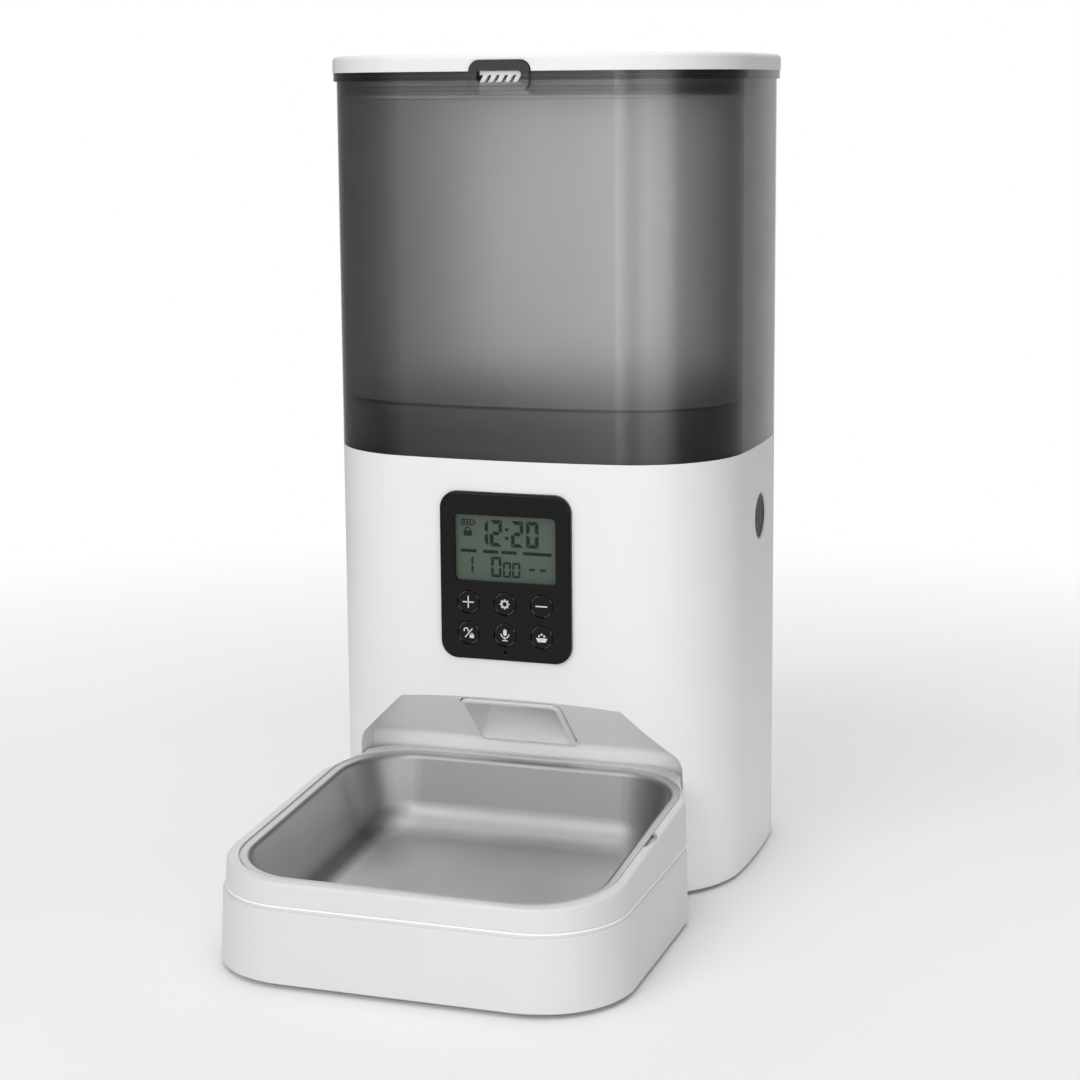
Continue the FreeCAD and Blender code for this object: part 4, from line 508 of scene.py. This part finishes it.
def draw_battery(marks):
    """An outlined battery with three charge bars."""
    left, right, top, bottom, line = -21.6, -15.6, -2.7, -5.1, 0.5
    middle = (top + bottom) / 2
    for z in (top, bottom):
        marks.bar((left, z), (right, z), line, False)
    for x in (left + 0.2, right - 0.2):
        marks.bar((x, bottom + 0.1), (x, top - 0.1), line, False)
    marks.bar((right + 0.3, middle), (right + 0.8, middle), 1.2, False)
    charge_half, charge_height = 0.45, 1.5
    for x in (-20.3, -18.8, -17.3):
        marks.bar((x - charge_half, middle), (x + charge_half, middle), charge_height, False)


def draw_padlock(marks):
    marks.bar((-20.6, -8.9), (-16.6, -8.9), 2.6, False)
    marks.arc((-18.6, -7.6), 1.3, 0.6, 0, 180)


def make_display_marks():
    """The digits and pictures on the display."""
    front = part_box("lcd_module")[0].y / MM
    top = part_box("lcd_lens")[1].z / MM
    marks = Marks("lcd_marks", "base", LCD_INK, "lcd_glass", front - 0.02, 0.05)
    for chars, places, drop, size in DISPLAY_LINES:
        for char, x in zip(chars, places):
            digit(marks, char, (x, top - drop), *size)
    marks.at(0.0, top)
    for draw in (draw_colon, draw_word_bars, draw_battery, draw_padlock):
        draw(marks)
    marks.done()


def key_marks(key, what, material, sunk, depth):
    """Marks centred on a key's face, with their backs sunk below it."""
    low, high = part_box(key)
    middle = (low + high) / 2
    marks = Marks(f"{key}_{what}", key + "_button", material, None, low.y / MM + sunk, depth)
    return marks.at(middle.x / MM, middle.z / MM)


def draw_plus(marks):
    marks.bar((-2.5, 0.0), (2.5, 0.0), 0.55)
    marks.bar((0.0, -2.6), (0.0, 2.6), 0.55)


def draw_minus(marks):
    marks.bar((-2.6, 0.0), (2.6, 0.0), 0.6)


def draw_cog(marks):
    teeth, root, tip = 8, 1.6, 2.35
    marks.ring((0.0, 0.0), 1.45, 0.75)
    for i in range(teeth):
        a = 2 * math.pi * i / teeth
        along = (math.cos(a), math.sin(a))
        marks.bar((root * along[0], root * along[1]), (tip * along[0], tip * along[1]), 0.7, False)


def draw_open_and_shut(marks):
    """A hook and a closed padlock with a slash between them."""
    marks.arc((-1.2, 1.2), 1.0, 0.5, -30, 210)
    marks.bar((-1.6, -2.0), (1.7, 1.9), 0.5)
    marks.bar((0.5, -1.6), (2.6, -1.6), 1.5, False)
    marks.arc((1.55, -0.85), 0.65, 0.35, 0, 180)


def draw_microphone(marks):
    marks.bar((0.0, 0.5), (0.0, 1.9), 1.7)
    marks.arc((0.0, 0.6), 1.9, 0.5, 180, 360)
    marks.bar((0.0, -1.4), (0.0, -2.3), 0.5)
    marks.bar((-1.1, -2.5), (1.1, -2.5), 0.5)


def draw_food_bowl(marks):
    marks.plate([(-2.7, -0.2), (2.7, -0.2), (1.9, -2.1), (-1.9, -2.1)])
    for x, z in ((-1.2, 0.75), (0.0, 1.5), (1.2, 0.75)):
        marks.disc((x, z), 0.48)


KEY_SYMBOLS = {
    "key_plus": draw_plus,
    "key_set": draw_cog,
    "key_minus": draw_minus,
    "key_lock": draw_open_and_shut,
    "key_record": draw_microphone,
    "key_feed": draw_food_bowl,
}


def make_key_symbols():
    for key, draw in KEY_SYMBOLS.items():
        marks = key_marks(key, "symbol", KEY_INK, 0.02, 0.05)
        draw(marks)
        marks.done()


def make_key_glints():
    """Four short painted highlights on each key's bevel, as bright raised arcs."""
    radius, width = 5.0, 0.16
    for key in KEY_SYMBOLS:
        marks = key_marks(key, "glint", KEY_GLINT, 0.16, 0.06)
        for start, end in ((105, 160), (200, 230), (285, 330), (20, 40)):
            marks.arc((0.0, 0.0), radius, width, start, end)
        marks.done()


def make_button_ribs():
    """Three plain upright ribs in the dished middle of each side button."""
    dish, rib_rise, rib_width, rib_half, rib_pitch = 0.5, 0.3, 1.2, 4.0, 3.0
    for side in ("right", "left"):
        node = "release_button_" + side
        low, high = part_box(node)
        middle = (low + high) / 2
        face = high.x / MM - dish if side == "right" else low.x / MM + dish
        marks = Marks(node + "_ribs", BODY_OF[node], BUTTON_INK, None, face, rib_rise, side)
        marks.at(middle.y / MM, middle.z / MM)
        for shift in (-rib_pitch, 0.0, rib_pitch):
            marks.bar((shift, -rib_half), (shift, rib_half), rib_width)
        marks.done()


def make_springs():
    """The release buttons' springs: copies of the CAD springs, riding with their bodies, with the CAD pieces
    hidden.
    """
    for side in ("right", "left"):
        node = "release_spring_" + side
        spring = bpy.data.objects.new(node + "_steel", NODES[node].data.copy())
        bpy.context.scene.collection.objects.link(spring)
        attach(spring, BODY_OF[node])
        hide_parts(node)
        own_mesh(spring)


make_display_marks()
make_key_symbols()
make_key_glints()
make_button_ribs()
make_springs()


# ---------------------------------------------------------------- floor, light, camera


def make_floor():
    """A round white table top that fades into the backdrop."""
    reach, spokes = 1.6, 64
    fade_start, fade_end = 0.35, 0.85
    table = bmesh.new()
    bmesh.ops.create_circle(table, cap_ends=True, segments=spokes, radius=reach)
    data = bpy.data.meshes.new("floor")
    table.to_mesh(data)
    table.free()
    floor = bpy.data.objects.new("floor", data)
    bpy.context.scene.collection.objects.link(floor)
    paper = Finish("floor_white_paper", specular=0.2)
    paper.colour(paper.spread(paper.noise(3.0), 0.0, 1.0), grey(0.90), grey(0.92))
    paper.roughness(paper.spread(paper.noise(30.0), 0.6, 0.75))
    away = paper.node("ShaderNodeVectorMath", operation="LENGTH")
    paper.link(paper.coords, away.inputs[0])
    fade = paper.spread(away.outputs["Value"], 1.0, 0.0, fade_start, fade_end)
    paper.link(fade, paper.shader.inputs["Alpha"])
    data.materials.append(paper.material)


def make_world():
    """A white studio with darker sides; the camera itself sees plain white behind the object."""
    world = bpy.data.worlds.new("studio")
    world.use_nodes = True
    tree = world.node_tree
    light = tree.nodes["Background"]

    def add(kind, **props):
        made = tree.nodes.new(kind)
        for key, value in props.items():
            setattr(made, key, value)
        return made

    direction = add("ShaderNodeTexCoord").outputs["Generated"]
    split = add("ShaderNodeSeparateXYZ")
    sideways = add("ShaderNodeMath", operation="ABSOLUTE")
    # the dark right side reaches further back than the dark left side
    slanted = add("ShaderNodeVectorMath", operation="DOT_PRODUCT")
    slanted.inputs[1].default_value = (0.75, 0.40, 0.0)
    wider = add("ShaderNodeMath", operation="MAXIMUM")
    falloff = add("ShaderNodeMapRange", interpolation_type="SMOOTHSTEP")
    for socket, value in (("From Min", 0.30), ("From Max", 0.85), ("To Min", 0.85), ("To Max", 0.14)):
        falloff.inputs[socket].default_value = value
    backdrop = add("ShaderNodeBackground")
    backdrop.inputs["Strength"].default_value = 1.0
    for node in (light, backdrop):
        node.inputs["Color"].default_value = (1.0, 1.0, 1.0, 1.0)
    seen = add("ShaderNodeLightPath").outputs["Is Camera Ray"]
    mixed = add("ShaderNodeMixShader")
    for output, target in (
        (direction, split.inputs[0]),
        (direction, slanted.inputs[0]),
        (split.outputs["X"], sideways.inputs[0]),
        (sideways.outputs[0], wider.inputs[0]),
        (slanted.outputs["Value"], wider.inputs[1]),
        (wider.outputs[0], falloff.inputs["Value"]),
        (falloff.outputs["Result"], light.inputs["Strength"]),
        (seen, mixed.inputs["Fac"]),
        (light.outputs[0], mixed.inputs[1]),
        (backdrop.outputs[0], mixed.inputs[2]),
        (mixed.outputs[0], tree.nodes["World Output"].inputs["Surface"]),
    ):
        tree.links.new(output, target)
    bpy.context.scene.world = world


def softbox(name, place, aim, size, power):
    """A rectangular lamp at a place, turned towards the point it is aimed at."""
    data = bpy.data.lights.new(name, "AREA")
    data.shape = "RECTANGLE"
    data.size, data.size_y = size
    data.energy = power
    lamp = bpy.data.objects.new(name, data)
    bpy.context.scene.collection.objects.link(lamp)
    lamp.location = place
    lamp.rotation_mode = "QUATERNION"
    lamp.rotation_quaternion = (Vector(aim) - Vector(place)).to_track_quat("-Z", "Y")


def make_camera():
    """The photograph's camera: its place, heading, tilt, roll and lens."""
    place = (0.3479, -0.9957, 0.3663)
    yaw, pitch, roll = (math.radians(v) for v in (18.643, 8.841, -0.446))
    ahead = Vector((-math.sin(yaw) * math.cos(pitch), math.cos(yaw) * math.cos(pitch), -math.sin(pitch)))
    right = ahead.cross(Vector((0, 0, 1))).normalized()
    up = right.cross(ahead)
    right, up = right * math.cos(roll) + up * math.sin(roll), up * math.cos(roll) - right * math.sin(roll)
    data = bpy.data.cameras.new("camera")
    data.sensor_width = 36.0
    data.lens = 78.05
    data.shift_y = -0.08
    data.clip_start = 0.02
    data.clip_end = 60.0
    camera = bpy.data.objects.new("camera", data)
    bpy.context.scene.collection.objects.link(camera)
    turn = Matrix((right, up, -ahead)).transposed().to_4x4()
    camera.matrix_world = Matrix.Translation(place) @ turn
    bpy.context.scene.camera = camera


make_floor()
make_world()
softbox("key_front_left", (-0.7, -2.0, 1.3), (0.0, 0.0, 0.25), (1.2, 1.2), 10.5)
softbox("top", (0.0, 0.1, 1.9), (0.0, 0.0, 0.0), (1.8, 1.8), 10.0)
softbox("behind", (-0.36, 1.25, 0.42), (0.0, 0.0, 0.28), (1.1, 0.9), 0.5)
softbox("low_front_right", (0.95, -1.15, 0.22), (0.0, -0.05, 0.08), (0.9, 0.35), 3.4)
softbox("strip_front", (0.08, -1.7, 0.40), (0.06, 0.0, 0.30), (0.09, 0.9), 2.4)
make_camera()

bpy.context.scene.view_settings.view_transform = "Standard"
